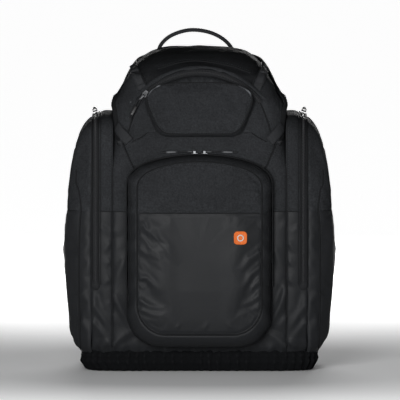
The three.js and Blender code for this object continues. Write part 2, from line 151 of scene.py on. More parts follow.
def folds(a, b, marks):
    """Height of sewn-in folds: each starts at a seam, has a trough on one side and fades out."""
    height = np.zeros(np.shape(a))
    for line, width, rise in marks:
        far, side, share = near(a, b, line)
        fade = np.clip(share / 0.12 + 0.35, 0, 1) * np.clip(1 - share, 0, 1) ** 0.8
        ridge = np.exp(-((far / width) ** 1.5))
        trough = np.exp(-((side / width - 1.5) ** 2)) * np.exp(-((far / width / 2.2) ** 4))
        height += rise * fade * (ridge - 0.6 * trough)
    return height


def groove(a, b, line, width, depth):
    """The valley that a seam pulls into a soft panel."""
    return -depth * np.exp(-((near(a, b, line)[0] / width) ** 2))


def puckers(line, reach, spacing, width, rise, inward):
    """Small folds that gathering leaves along a seam, on the side that inward points to."""
    line = np.asarray(line, float)
    at = resample(line, max(3, int(length_of(line) / spacing)))
    ways = unit(np.gradient(at, axis=0)) @ np.array([[0, -1], [1, 0]]) * inward
    marks = []
    for point, way in zip(at, ways):
        turn = RNG.normal(0, 0.35)
        way = np.array([way[0] * math.cos(turn) - way[1] * math.sin(turn),
                        way[0] * math.sin(turn) + way[1] * math.cos(turn)])
        start = point + RNG.normal(0, spacing / 5, 2)
        marks.append(([start, start + way * reach * RNG.uniform(0.5, 1.3)],
                      width * RNG.uniform(0.8, 1.3), rise * RNG.uniform(0.3, 1.2)))
    return marks


def both_sides(marks):
    return marks + [([(-x, z) for x, z in line], width, rise) for line, width, rise in marks]


# ---- Lofts: a rounded rectangle whose size changes with height -----------------------------
class Loft:
    def __init__(self, levels, corner):
        self.corner, self.flat = corner, 1 - corner
        knots = np.asarray(levels, float)
        smooth = curve(knots, 900)
        straight = resample(knots, 900)
        rows = 0.6 * smooth + 0.4 * straight
        rows[:, 0] = np.maximum.accumulate(rows[:, 0] + np.arange(900) * 1e-6)
        self.rows = rows
        steps = np.hypot(np.diff(rows[:, 0]), np.diff(rows[:, 2]))
        self.run = np.r_[0, np.cumsum(steps)]
        self.quarter = corner * math.pi / 2
        self.half_round = 4 * self.flat + 2 * self.quarter

    def size(self, z):
        return [np.interp(z, self.rows[:, 0], self.rows[:, k]) for k in (1, 2, 3)]

    def run_at(self, z):
        return np.interp(z, self.rows[:, 0], self.run)

    def z_at(self, run):
        return np.interp(run, self.run, self.rows[:, 0])

    def depth(self, x, z):
        half, front, back = self.size(z)
        over = np.clip((np.abs(x / half) - self.flat) / self.corner, 0, 1)
        share = self.flat + self.corner * np.sqrt(1 - over**2)
        return (front + back) / 2, (back - front) / 2 * share

    def front(self, x, z):
        middle, reach = self.depth(x, z)
        return middle - reach

    def back(self, x, z):
        middle, reach = self.depth(x, z)
        return middle + reach

    def round_to(self, x, z):
        """The way round, from the middle of the front, to the front point at this x."""
        u = np.clip(np.abs(x) / self.size(z)[0], 0, 1)
        over = np.clip((u - self.flat) / self.corner, 0, 1)
        return np.where(u < self.flat, u, self.flat + self.corner * np.arcsin(over))

    def point(self, way, z):
        """The point at a way round from the middle of the front; right is positive."""
        sign, s = np.sign(way), np.abs(way)
        flat, corner, quarter = self.flat, self.corner, self.quarter
        first = np.clip((s - flat) / corner, 0, math.pi / 2)
        second = np.clip((s - 3 * flat - quarter) / corner, 0, math.pi / 2)
        on_side = np.clip(s - flat - quarter, 0, 2 * flat)
        on_back = np.clip(s - 3 * flat - 2 * quarter, 0, flat)
        u = np.minimum(s, flat) + corner * np.sin(first) - corner * (1 - np.cos(second)) - on_back
        v = -1 + corner * (1 - np.cos(first)) + on_side + corner * np.sin(second)
        half, front, back = self.size(z)
        return np.stack([sign * u * half, (front + back) / 2 + v * (back - front) / 2, z + 0 * u], -1)


body = Loft(BODY_LEVELS, 0.3)
hood = Loft(HOOD_LEVELS, 0.28)


def cut_z(y):
    return np.interp(y, *np.transpose(HOOD_CUT))


def cut_at(point_at, start=440.0, shape=()):
    """The height where a line of the hood's surface meets the cut."""
    z = np.full(shape, start)
    for _ in range(40):
        z = 0.5 * z + 0.5 * cut_z(point_at(z))
    return z


def front_y(x, z):
    """The front from the hem to the hood: the body's face runs into the hood's narrower one."""
    share = smoothstep(z, 365, HINGE_Z)
    narrow = np.clip(x, -158.5, 158.5)
    return (1 - share) * body.front(x, z) + share * hood.front(narrow, np.maximum(z, 381))


# ---- Meshes ---------------------------------------------------------------------------------
def grid(rows, cols, wrap=False):
    """Quads between rows of points; wrap joins the last column to the first."""
    r, c = np.meshgrid(np.arange(rows - 1), np.arange(cols if wrap else cols - 1), indexing="ij")
    r, c = r.ravel(), c.ravel()
    d = (c + 1) % cols
    return np.stack([r * cols + c, r * cols + d, (r + 1) * cols + d, (r + 1) * cols + c], 1).tolist()


def grid_normals(points, wrap=False):
    """Normals of a grid that face away from the bag's middle."""
    if wrap:
        across = np.roll(points, -1, 1) - np.roll(points, 1, 1)
    else:
        across = np.gradient(points, axis=1)
    normal = unit(np.cross(np.gradient(points, axis=0), across))
    outward = (normal * (points - np.array([0, 0, 280]))).sum() >= 0
    return normal if outward else -normal


class Parts:
    """Points and faces that become one mesh object."""

    def __init__(self):
        self.points, self.faces, self.uses, self.count = [], [], [], 0

    def add(self, points, faces, use=0):
        points = np.asarray(points, float).reshape(-1, 3)
        self.points.append(points)
        self.faces += [[i + self.count for i in face] for face in faces]
        self.uses += [use] * len(faces)
        self.count += len(points)
        return self

    def make(self, name, *materials, flat=False):
        mesh = bpy.data.meshes.new(name)
        mesh.from_pydata((np.vstack(self.points) * MM).tolist(), [], self.faces)
        for material in materials:
            mesh.materials.append(material)
        mesh.polygons.foreach_set("material_index", self.uses)
        mesh.polygons.foreach_set("use_smooth", [not flat] * len(self.faces))
        mesh.validate()
        made = bpy.data.objects.new(name, mesh)
        SCENE.collection.objects.link(made)
        return made


def sweep(path, section, side, closed=False):
    """A section of (across, up) points carried along a path; side is the across direction."""
    path = np.asarray(path, float)
    if closed:
        ahead = unit(np.roll(path, -1, 0) - np.roll(path, 1, 0))
    else:
        ahead = unit(np.gradient(path, axis=0))
    side = np.broadcast_to(np.asarray(side, float), path.shape)
    side = unit(side - (side * ahead).sum(1, keepdims=True) * ahead)
    up = np.cross(ahead, side)
    section = np.asarray(section, float)
    points = path[:, None] + section[None, :, :1] * side[:, None] + section[None, :, 1:] * up[:, None]
    count = len(section)
    faces = grid(len(path) + closed, count, wrap=True)
    if closed:
        total = len(path) * count
        faces = [[i % total for i in face] for face in faces]
    else:
        last = (len(path) - 1) * count
        faces += [list(range(count))[::-1], list(range(last, last + count))]
    return points.reshape(-1, 3), faces


def round_section(radius, sides=8):
    turn = np.linspace(0, 2 * math.pi, sides, endpoint=False)
    return np.stack([radius * np.cos(turn), radius * np.sin(turn)], 1)


def strap_section(width, thick, across=8, crown=0.0):
    """A flat band's section with rounded edges, its faces crowned by a little padding."""
    a = np.linspace(-1, 1, across)
    rise = thick / 2 * np.sqrt(1 - 0.75 * np.abs(a) ** 10) * (1 + crown * (1 - a**2))
    top = np.stack([a * width / 2, rise], 1)
    return np.vstack([top, np.stack([a[::-1] * width / 2, -rise[::-1]], 1)])


def cord_along(path, radius, side=(0, 1, 0), closed=False, sides=8):
    ahead = unit(np.gradient(np.asarray(path, float), axis=0))
    if closed:
        ahead = unit(np.roll(path, -1, 0) - np.roll(path, 1, 0))
    spare = np.array([0.31, 0.17, 0.93])
    across = np.broadcast_to(np.asarray(side, float), ahead.shape)
    weak = np.linalg.norm(np.cross(ahead, across), axis=1) < 0.2
    across = np.where(weak[:, None], spare, across)
    return sweep(path, round_section(radius, sides), np.cross(ahead, across), closed)


def stitches(parts, path, normals, pitch=4.2, lift=0.25, use=0):
    """Thread along a seam: a row of short raised stitches."""
    count = max(2, int(length_of(path) / pitch))
    at = resample(np.hstack([path, normals]), 3 * count + 1)
    start, end = at[0:-2:3], at[2::3][: len(at[0:-2:3])]
    for a, b in zip(start, end):
        ahead, up = unit(b[:3] - a[:3]), unit(a[3:])
        side = np.cross(ahead, up)
        middle = (a[:3] + b[:3]) / 2
        ring = [
            middle + 0.45 * side, middle + (lift + 0.3) * up,
            middle - 0.45 * side, middle - 0.3 * up,
        ]
        points = [a[:3], *ring, b[:3]]
        ends = [[0, 1, 2], [0, 2, 3], [0, 3, 4], [0, 4, 1], [5, 2, 1], [5, 3, 2], [5, 4, 3], [5, 1, 4]]
        parts.add(points, ends, use)


def teeth(parts, path, normals, pitch=2.6, width=4.4, height=1.5, use=0):
    """A zip's coil: rows of small nylon teeth that meet in the middle of the tape."""
    count = int(length_of(path) / pitch)
    at = resample(np.hstack([path, normals]), count)
    ahead = unit(np.gradient(at[:, :3], axis=0))
    up = unit(at[:, 3:])
    side = np.cross(ahead, up)
    for i in range(count):
        shift = (0.45 if i % 2 else -0.45) * side[i]
        along, across = ahead[i] * 0.42 * pitch, side[i] * width / 2
        low, high = at[i, :3] + shift, at[i, :3] + shift + up[i] * height
        corners = ((-1, -1), (1, -1), (1, 1), (-1, 1))
        foot = [low + s * across + t * along for s, t in corners]
        head = [high + s * across * 0.8 + t * along * 0.7 for s, t in corners]
        sides = [[k, (k + 1) % 4, 4 + (k + 1) % 4, 4 + k] for k in range(4)]
        parts.add(foot + head, [[4, 5, 6, 7], *sides], use)


def tree_of(*objects):
    """What a ray can hit: the objects' faces, in millimetres."""
    points, faces, count = [], [], 0
    for o in objects:
        points += [v.co / MM for v in o.data.vertices]
        faces += [[i + count for i in p.vertices] for p in o.data.polygons]
        count += len(o.data.vertices)
    return BVHTree.FromPolygons(points, faces)


def meet(tree, start, way):
    """Where a ray meets the fabric, and the fabric's normal there, turned towards the ray's start."""
    hit, normal, _, _ = tree.ray_cast(start, way)
    if hit is not None and normal.dot(way) >= 0:
        normal = -normal
    return hit, normal


def drape(tree, points, way, lift=0.0):
    """Points moved along way until they lie on the fabric, with the fabric's normals there."""
    places, normals = [], []
    way = Vector(way)
    for p in points:
        hit, normal = meet(tree, Vector(p) - way * 300, way)
        if hit is None:
            continue
        places.append(hit + normal * lift)
        normals.append(normal)
    places, normals = np.array(places), np.array(normals)
    kernel = np.ones(5) / 5
    padded = np.vstack([normals[:1]] * 2 + [normals] + [normals[-1:]] * 2)
    normals = unit(np.stack([np.convolve(column, kernel, "valid") for column in padded.T], 1))
    return places, normals


def from_front(tree, line, count, lift=0.0):
    """A line given as (x, z), laid on the fabric as seen from the front."""
    flat = curve(line, count)
    return drape(tree, [(x, FRONT_Y, z) for x, z in flat], (0, 1, 0), lift)


def modified(made, kind, **values):
    modifier = made.modifiers.new(kind.title(), kind)
    for key, value in values.items():
        setattr(modifier, key, value)
    return modifier


def settle_modifiers(made):
    """Applies every modifier, so that the mesh itself has the final shape."""
    graph = bpy.context.evaluated_depsgraph_get()
    graph.update()
    mesh = bpy.data.meshes.new_from_object(made.evaluated_get(graph))
    made.modifiers.clear()
    made.data = mesh
    return made


def points_of(made):
    points = np.zeros(len(made.data.vertices) * 3)
    made.data.vertices.foreach_get("co", points)
    return points.reshape(-1, 3) / MM


def move_points(made, points):
    made.data.vertices.foreach_set("co", (points * MM).ravel())
    made.data.update()


def normals_of(made):
    normals = np.zeros(len(made.data.vertices) * 3)
    made.data.vertices.foreach_get("normal", normals)
    return normals.reshape(-1, 3)


def simulate(made, pins, pressure, grow, cap, frames=22, bend=0.6, free=1.0):
    """Cloth simulation of a sewn panel: its pinned edge stays, the rest fills and wrinkles."""
    rest = points_of(made)
    group = made.vertex_groups.new(name="sewn")
    group.add([int(i) for i in np.flatnonzero(pins)], 1, "REPLACE")
    for modifier in made.modifiers:
        modifier.show_viewport = False
    cloth = made.modifiers.new("Cloth", "CLOTH")
    settings = cloth.settings
    settings.quality = 6
    settings.mass = 0.15
    settings.vertex_group_mass = "sewn"
    settings.tension_stiffness = settings.compression_stiffness = settings.shear_stiffness = 18
    settings.bending_stiffness = bend
    settings.use_pressure = pressure != 0
    settings.uniform_pressure_force = pressure
    settings.shrink_min = settings.shrink_max = -grow
    settings.effector_weights.gravity = 0
    cloth.collision_settings.use_collision = False
    cloth.point_cache.frame_start, cloth.point_cache.frame_end = 1, frames
    for number in range(1, frames + 1):
        SCENE.frame_set(number)
    graph = bpy.context.evaluated_depsgraph_get()
    result = made.evaluated_get(graph).data
    moved = np.zeros(len(result.vertices) * 3)
    result.vertices.foreach_get("co", moved)
    shift = moved.reshape(-1, 3) / MM - rest
    far = np.linalg.norm(shift, axis=1, keepdims=True)
    shift *= np.minimum(1, cap / np.maximum(far, 1e-6)) * np.reshape(free, (-1, 1))
    made.modifiers.remove(cloth)
    for modifier in made.modifiers:
        modifier.show_viewport = True
    made.vertex_groups.clear()
    SCENE.frame_set(1)
    move_points(made, rest + shift)
    return made


# ---- Materials ------------------------------------------------------------------------------
def node(tree, kind, inputs=None, **settings):
    made = tree.nodes.new("ShaderNode" + kind)
    for key, value in settings.items():
        setattr(made, key, value)
    for key, value in (inputs or {}).items():
        if isinstance(value, bpy.types.NodeSocket):
            tree.links.new(value, made.inputs[key])
        else:
            made.inputs[key].default_value = value
    return made


def blank(name):
    material = bpy.data.materials.new(name)
    material.use_nodes = True
    tree = material.node_tree
    tree.nodes.clear()
    shader = node(tree, "BsdfPrincipled")
    out = node(tree, "OutputMaterial")
    tree.links.new(shader.outputs[0], out.inputs[0])
    return material, tree, shader


def noise(tree, where, scale, detail=3.0, rough=0.55):
    inputs = {"Vector": where, "Scale": scale, "Detail": detail, "Roughness": rough}
    return node(tree, "TexNoise", inputs).outputs[0]


def remap(tree, value, low, high, to_low, to_high):
    inputs = {"Value": value, "From Min": low, "From Max": high, "To Min": to_low, "To Max": to_high}
    return node(tree, "MapRange", inputs).outputs[0]


def maths(tree, what, a, b):
    return node(tree, "Math", {0: a, 1: b}, operation=what).outputs[0]


def threads(tree, where, pitch):
    """A plain weave: bands along and up the cloth, one period per pair of threads."""
    scale = 2 * math.pi / 20 / (pitch * MM)
    bands = [
        node(tree, "TexWave", {"Vector": where, "Scale": scale, "Distortion": 0.6, "Detail": 1.0},
             bands_direction=way).outputs["Fac"] for way in ("X", "Y", "Z")
    ]
    flat = maths(tree, "MAXIMUM", bands[0], bands[1])
    return maths(tree, "MULTIPLY", flat, bands[2])


def paint(tree, shader, colour, value, spread, wear=0.0):
    """The base colour: varied by a texture, and lighter where edges are rubbed."""
    dark = [c * (1 - spread) for c in colour] + [1]
    pale = [c * (1 + spread) for c in colour] + [1]
    mix = node(tree, "Mix", {"Factor": value, "A": dark, "B": pale}, data_type="RGBA", blend_type="MIX")
    for key, content in (("A", dark), ("B", pale)):
        next(s for s in mix.inputs if s.name == key and s.type == "RGBA").default_value = content
    result = next(s for s in mix.outputs if s.type == "RGBA")
    if wear:
        edges = node(tree, "NewGeometry").outputs["Pointiness"]
        rubbed = remap(tree, edges, 0.53, 0.62, 0, wear)
        worn = node(tree, "Mix", {"Factor": rubbed}, data_type="RGBA", blend_type="MIX")
        a, b = [s for s in worn.inputs if s.type == "RGBA"]
        tree.links.new(result, a)
        b.default_value = [min(1, c * 2.4 + 0.01) for c in colour] + [1]
        result = next(s for s in worn.outputs if s.type == "RGBA")
    tree.links.new(result, shader.inputs["Base Color"])


def darken(tree, shader, factor):
    """Multiplies the base colour by a factor."""
    old = shader.inputs["Base Color"].links[0].from_socket
    scaled = node(tree, "VectorMath", {0: old, "Scale": factor}, operation="SCALE").outputs[0]
    tree.links.new(scaled, shader.inputs["Base Color"])


def raise_surface(tree, shader, height, depth, strength=1.0):
    bump = node(tree, "Bump", {"Height": height, "Distance": depth * MM, "Strength": strength})
    tree.links.new(bump.outputs[0], shader.inputs["Normal"])


def cloth(name, colour, pitch, rough, relief, spread, grain, specular, sheen=0.0, creases=0.0, fleck=0.0,
          shade=None):
    """Woven fabric: grain mixes uneven yarn into the weave, creases adds a soft crinkle, fleck a melange,
    and shade paints shade into its colour.
    """
    material, tree, shader = blank(name)
    where = node(tree, "TexCoord").outputs["Object"]
    weave = threads(tree, where, pitch)
    yarn = noise(tree, where, 0.8 / (pitch * MM), 2.0, 0.6)
    patches = noise(tree, where, 9.0, 4.0)
    mixed = maths(tree, "MULTIPLY", yarn, grain)
    height = maths(tree, "ADD", maths(tree, "MULTIPLY", weave, 1 - grain), mixed)
    fine_tone = remap(tree, height, 0.1, 0.75, 0, 0.65)
    tone = maths(tree, "ADD", fine_tone, remap(tree, patches, 0.3, 0.7, 0, 0.35))
    paint(tree, shader, colour, tone, spread, CLOTH_WEAR)
    if fleck:
        fine = noise(tree, where, 330.0, 2.0, 0.7)
        darken(tree, shader, remap(tree, fine, 0.25, 0.75, 1 - fleck, 1 + fleck))
    # Painted shade: the shade factor darkens the base colour where less light falls.
    if shade:
        darken(tree, shader, shade(tree, where))
    tree.links.new(remap(tree, patches, 0.3, 0.7, rough - 0.06, rough + 0.06), shader.inputs["Roughness"])
    if creases:
        soft = noise(tree, where, 55.0, 3.0, 0.5)
        height = maths(tree, "ADD", height, maths(tree, "MULTIPLY", soft, creases))
    raise_surface(tree, shader, height, relief)
    shader.inputs["Specular IOR Level"].default_value = specular
    if sheen:
        shader.inputs["Sheen Weight"].default_value = sheen
        shader.inputs["Sheen Roughness"].default_value = 0.5
        shader.inputs["Sheen Tint"].default_value = (0.75, 0.8, 0.9, 1)
    return material


def moulded(name, colour, rough, relief, scale, spread, metallic=0.0, specular=0.5, wear=0.3):
    """Moulded plastic, rubber or plated metal: fine mottling, small scratches and rubbed edges."""
    material, tree, shader = blank(name)
    where = node(tree, "TexCoord").outputs["Object"]
    fine = noise(tree, where, scale, 4.0, 0.6)
    broad = noise(tree, where, scale / 12, 2.0)
    paint(tree, shader, colour, broad, spread, wear)
    tree.links.new(remap(tree, fine, 0.3, 0.7, rough - 0.07, rough + 0.09), shader.inputs["Roughness"])
    raise_surface(tree, shader, fine, relief)
    shader.inputs["Metallic"].default_value = metallic
    shader.inputs["Specular IOR Level"].default_value = specular
    return material


CLOTH_WEAR = 0.35
CANVAS_COLOUR = (0.0128, 0.0136, 0.0148)
# Each line: name, colour, thread pitch in mm, roughness, relief in mm, tone spread, grain, specular.
CANVAS = cloth("canvas", CANVAS_COLOUR, 1.5, 0.85, 0.35, 0.5, 0.75, 0.05, fleck=0.45)
TARPAULIN = cloth("tarpaulin", (0.0102, 0.0108, 0.0118), 0.9, 0.48, 0.035, 0.1, 0.3, 0.065, creases=2.2)
HEM = cloth("hem_fabric", (0.0032, 0.0034, 0.0038), 1.4, 0.92, 0.3, 0.4, 0.6, 0.03)
WEBBING = cloth("webbing", (0.0145, 0.0152, 0.0165), 1.9, 0.72, 0.32, 0.35, 0.25, 0.08)
TAPE = cloth("zip_tape", (0.0092, 0.0096, 0.0105), 1.0, 0.75, 0.16, 0.3, 0.3, 0.08)
MESH = cloth("spacer_mesh", (0.0105, 0.011, 0.012), 3.2, 0.85, 0.7, 0.5, 0.15, 0.1, sheen=0.05)
LINING = cloth("lining", (0.045, 0.048, 0.052), 0.8, 0.6, 0.08, 0.15, 0.4, 0.2)
PIPING = cloth("piping", (0.0052, 0.0055, 0.006), 1.1, 0.7, 0.15, 0.3, 0.3, 0.06)
THREAD = cloth("thread", (0.0125, 0.0131, 0.0142), 0.5, 0.6, 0.08, 0.25, 0.5, 0.1)
CORD = cloth("cord", (0.008, 0.0084, 0.0092), 1.3, 0.6, 0.25, 0.4, 0.2, 0.1)
PLASTIC = moulded("moulded_plastic", (0.006, 0.006, 0.0065), 0.42, 0.03, 900, 0.2, specular=0.35)
COIL = moulded("zip_coil", (0.0075, 0.0078, 0.0085), 0.45, 0.02, 1500, 0.2, specular=0.15)
GREY_PLASTIC = moulded("puller_grip", (0.042, 0.044, 0.047), 0.4, 0.03, 900, 0.15, specular=0.3)
DARK_METAL = moulded("blackened_metal", (0.012, 0.012, 0.0125), 0.45, 0.015, 700, 0.15, metallic=1.0)
METAL = moulded("plated_metal", (0.075, 0.077, 0.08), 0.42, 0.015, 700, 0.12, metallic=1.0)
ORANGE = moulded("orange_rubber", (0.4, 0.084, 0.014), 0.55, 0.05, 600, 0.12, specular=0.12, wear=0.1)
WHITE_MARK = moulded("white_rubber", (0.36, 0.35, 0.34), 0.5, 0.05, 600, 0.06, specular=0.2, wear=0.0)


def step_up(tree, value, at, width=0.0012):
    return remap(tree, value, at - width, at + width, 0.0, 1.0)


def top_panel_shade(tree, where):
    """Painted shade: darker canvas above the goggle pocket's arch and between the hood's side seams, where
    the upward-facing top panel gets little light.
    """
    axes = node(tree, "SeparateXYZ", {"Vector": where}).outputs
    x, y, z = axes[0], axes[1], axes[2]
    origin = ON_FACE * MM
    rise = maths(tree, "MULTIPLY", maths(tree, "SUBTRACT", y, float(origin[1])), float(UP_FACE[1]))
    climb = maths(tree, "MULTIPLY", maths(tree, "SUBTRACT", z, float(origin[2])), float(UP_FACE[2]))
    v = maths(tree, "SUBTRACT", maths(tree, "ADD", rise, climb), ARCH_V * MM)
    flat = node(tree, "CombineXYZ", {0: x, 1: v, 2: 0.0}).outputs[0]
    radius = node(tree, "VectorMath", {0: flat}, operation="LENGTH").outputs["Value"]
    outside = step_up(tree, radius, (ARCH_R + 11.5) * MM)
    lean = maths(tree, "MULTIPLY", maths(tree, "SUBTRACT", z, 0.530), 0.475)
    side = maths(tree, "SUBTRACT", maths(tree, "ABSOLUTE", x, 0.0), lean)
    inside = maths(tree, "SUBTRACT", 1.0, step_up(tree, side, 0.0995))
    above = maths(tree, "MULTIPLY", outside, inside)
    above = maths(tree, "MULTIPLY", above, step_up(tree, z, 0.524))
    # Factor for the painted shade: 1 outside the top panel, 0.46 on it.
    return remap(tree, above, 0.0, 1.0, 1.0, 0.46)


# ---- How pieces are finished and carried ---------------------------------------------------
def finish_piece(piece, ride="pack", stands_for=()):
    """Hides the CAD parts that a piece stands for; a piece that rides on the fold, the flap or a door keeps
    its shape baked in place, and any other is parented to the empty of the body that carries it.
    """
    if stands_for:
        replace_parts(piece, *stands_for)
    if ride == "fold":
        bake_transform(piece)
    elif ride == "flap":
        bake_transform(piece)
    elif ride.startswith("door"):
        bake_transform(piece)
    else:
        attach(piece, ride)
    return piece


def two_tone(made, low=0, high=1):
    """Cuts a panel at the straight seam and gives it canvas above and tarpaulin below."""
    work = bmesh.new()
    work.from_mesh(made.data)
    everything = [*work.verts, *work.edges, *work.faces]
    seam = (0, 0, SPLIT_Z * MM)
    bmesh.ops.bisect_plane(work, geom=everything, dist=1e-6, plane_co=seam, plane_no=(0, 0, 1))
    for face in work.faces:
        above = face.calc_center_median().z > SPLIT_Z * MM
        face.material_index = high if above else low
        face.smooth = True
    work.to_mesh(made.data)
    work.free()
    return made


def panel(name, points, wrap=False, tone=(TARPAULIN, CANVAS), thick=1.4, capped=False):
    """A sewn fabric panel from a grid of points, with lining behind it; capped closes its last row."""
    rows, cols = points.shape[:2]
    normal = grid_normals(points, wrap)
    faces = grid(rows, cols, wrap)
    flat = points.reshape(-1, 3)
    if capped:
        start, middle = (rows - 1) * cols, rows * cols
        flat = np.vstack([flat, points[-1].mean(0)])
        faces += [[start + k, start + (k + 1) % cols, middle] for k in range(cols)]
    quads = np.array(grid(rows, cols, wrap))
    a, b, c = (points.reshape(-1, 3)[quads[:, k]] for k in (0, 1, 2))
    faces_in = (np.cross(b - a, c - a) * normal.reshape(-1, 3)[quads[:, 0]]).sum() < 0
    if faces_in:
        faces = [face[::-1] for face in faces]
    made = Parts().add(flat, faces).make(name, *tone, LINING, LINING)
    if tone[0] is not tone[1]:
        two_tone(made)
    modified(made, "SOLIDIFY", thickness=thick * MM, offset=-1, material_offset=2, material_offset_rim=0)
    return made


def out_by(points, height, wrap=False):
    return points + grid_normals(points, wrap) * np.asarray(height)[..., None]


# ---- Seams ----------------------------------------------------------------------------------
class Seams:
    """Piping, thread and teeth that ride together."""

    def __init__(self, name, slot, ride):
        self.name, self.slot, self.ride = name, slot, ride
        self.parts = Parts()

    def pipe(self, path, normals, radius=1.1, sink=0.3):
        self.parts.add(*cord_along(path + normals * (radius * (0.6 - sink)), radius, normals), use=0)
        return self

    def sew(self, path, normals, offset=0.0, pitch=4.2):
        side = np.cross(unit(np.gradient(path, axis=0)), normals)
        stitches(self.parts, path + side * offset, normals, pitch, use=1)
        return self

    def zip(self, path, normals, lift=0.2, width=4.4):
        teeth(self.parts, path + normals * lift, normals, width=width, use=2)
        return self

    def tape(self, path, normals, width, thick=0.8, lift=0.3):
        side = np.cross(unit(np.gradient(path, axis=0)), normals)
        self.parts.add(*sweep(path + normals * lift, strap_section(width, thick), side), use=3)
        return self

    def make(self):
        made = self.parts.make(self.name, PIPING, THREAD, COIL, TAPE)
        return finish_piece(made, self.ride)


# ---- Body: front panel ----------------------------------------------------------------------
TAB_X, TAB_Z, CORNER_X, CORNER_Z = 143, 426, 110, 352


def panel_top(x):
    """Where the front panel ends: behind the pocket, then the seam to the hood's tab, then the cut."""
    x = np.abs(x)
    z = cut_at(lambda z: hood.front(np.clip(x, 0, 158.5), z), 440.0, x.shape)
    rising = CORNER_Z + (x - CORNER_X) * (TAB_Z - CORNER_Z) / (TAB_X - CORNER_X)
    return np.where(x < CORNER_X, CORNER_Z, np.where(x < TAB_X, rising, np.maximum(z, rising)))


FRONT_MARKS = [
    ([(-161, 148), (-146, 118), (-124, 80), (-104, 64)], 8, 6.5), ([(-163, 112), (-146, 84)], 7, 4),
    ([(-164, 46), (-136, 68), (-108, 84)], 8, 5.5), ([(-152, 38), (-132, 52)], 6, 4),
    ([(-136, 210), (-150, 180), (-158, 152)], 9, 3.5), ([(-60, 38), (-72, 47)], 7, 4),
    ([(161, 158), (148, 122), (128, 84), (108, 62)], 8, 6.5), ([(163, 104), (146, 80)], 7, 4.5),
    ([(164, 44), (136, 66), (106, 80)], 8, 5.5), ([(128, 38), (140, 56)], 6, 4),
    ([(136, 232), (148, 200), (158, 176)], 9, 3.5), ([(30, 38), (42, 47)], 7, 4),
    ([(-166, 268), (-150, 258), (-140, 262)], 7, 3), ([(164, 282), (150, 262)], 7, 3),
]


def front_panel():
    """The flat front of the bag, from the hem to the hood, with folds at its lower corners."""
    x = np.linspace(-HALF_COLUMN, HALF_COLUMN, 97)
    low = np.linspace(33, SPLIT_Z, 72)[:, None]
    high = np.linspace(0, 1, 40)[1:, None]
    rows = np.vstack([np.broadcast_to(low, (72, 97)), SPLIT_Z + high * (panel_top(x) - SPLIT_Z)])
    xs = np.broadcast_to(x, rows.shape)
    gathered = [(a, 35) for a in np.linspace(-HALF_COLUMN, HALF_COLUMN, 30)]
    marks = FRONT_MARKS + puckers(gathered, 26, 11, 4.2, 3.4, -1)
    marks += both_sides(puckers([(-160, 60), (-160, 290)], 16, 26, 4.8, 1.3, -1))
    rise = folds(xs, rows, marks)
    rise += 2.5 * np.sin(np.pi * np.clip((np.abs(xs) - 128) / 34, 0, 1)) * smoothstep(rows, 40, 110)
    rise -= 2.8 * smoothstep(np.abs(xs), 155, 160) * smoothstep(rows, 480, 420)
    rise += groove(xs, rows, [(-170, SPLIT_Z), (170, SPLIT_Z)], 2.2, 1.0)
    rise -= 4 * smoothstep(rows, 48, 33)
    y = front_y(xs, rows) - rise
    made = panel("front_panel_fabric", np.stack([xs, y, rows], -1))
    finish_piece(made, "pack", ["front_panel"])
    return made


FOLD_TOP = [(0, 442), (91, 442), (123, 423), (143, 426)]


def below_goggles():
    """The canvas between the front pocket and the goggle pocket, which the hood folds on."""
    u = np.linspace(-1, 1, 81)
    top = np.interp(np.abs(u) * TAB_X, *np.transpose(FOLD_TOP))
    t = np.linspace(0, 1, 44)[:, None]
    z = 344 + t * (top - 344)
    limit = np.interp(z, [344, CORNER_Z, TAB_Z], [CORNER_X - 3.5, CORNER_X, TAB_X]) + 1.2
    x = u * limit
    rise = 0.8 + 3.0 * np.exp(-((z - 424) / 16) ** 2) * smoothstep(np.abs(x), 150, 60)
    rise += folds(x, z, [([(-84, 433), (-60, 420)], 8, 2.2), ([(40, 410), (96, 420)], 12, 2.0),
                         ([(-100, 398), (-40, 412)], 12, 1.6)])
    rise += -1.6 * smoothstep(np.abs(u), 0.955, 1.0)
    made = panel("fold_fabric", np.stack([x, front_y(x, z) - rise, z], -1), tone=(CANVAS, CANVAS))
    return finish_piece(made, "fold")


# ---- Hood -----------------------------------------------------------------------------------
HOOD_MARKS = [
    ([(-50, 566), (20, 556)], 16, 2.6), ([(30, 580), (88, 560)], 12, 3.2),
    ([(-96, 556), (-60, 570)], 10, 2.4), ([(-118, 512), (-128, 470)], 12, 3),
    ([(120, 505), (134, 462)], 12, 3), ([(104, 548), (128, 520)], 9, 2.6),
]
TOP_SEAM = [(-76, 556), (-38, 566), (0, 569), (55, 561), (93, 549)]
SIDE_SEAM = [(-116, 563), (-108, 548), (-99, 530), (-106, 508), (-122, 470), (-131, 440)]


def hood_grid():
    cols = 216
    way = np.linspace(-hood.half_round, hood.half_round, cols, endpoint=False)
    x_near = hood.point(way, np.full(cols, 430.0))[:, 0]
    ahead = hood.point(way, np.full(cols, 430.0))[:, 1] < 0
    on_cut = cut_at(lambda z: hood.point(way, z)[:, 1], 470.0, (cols,))
    in_front = ahead & (np.abs(x_near) < TAB_X)
    low = np.where(in_front, np.interp(np.abs(x_near), *np.transpose(FOLD_TOP)), on_cut)
    t = np.linspace(0, 1, 64)[:, None]
    start, end = hood.run_at(low), hood.run[-1]
    z = hood.z_at(start + t * (end - start))
    points = hood.point(way, z)
    crown = np.array([0, 51, CROWN_Z])
    shares = (0.7, 0.4, 0.12)
    caps = [crown + (points[-1] - crown) * k + np.array([0, 0, (1 - k) * 0.5]) for k in shares]
    return np.concatenate([points, np.array(caps)])


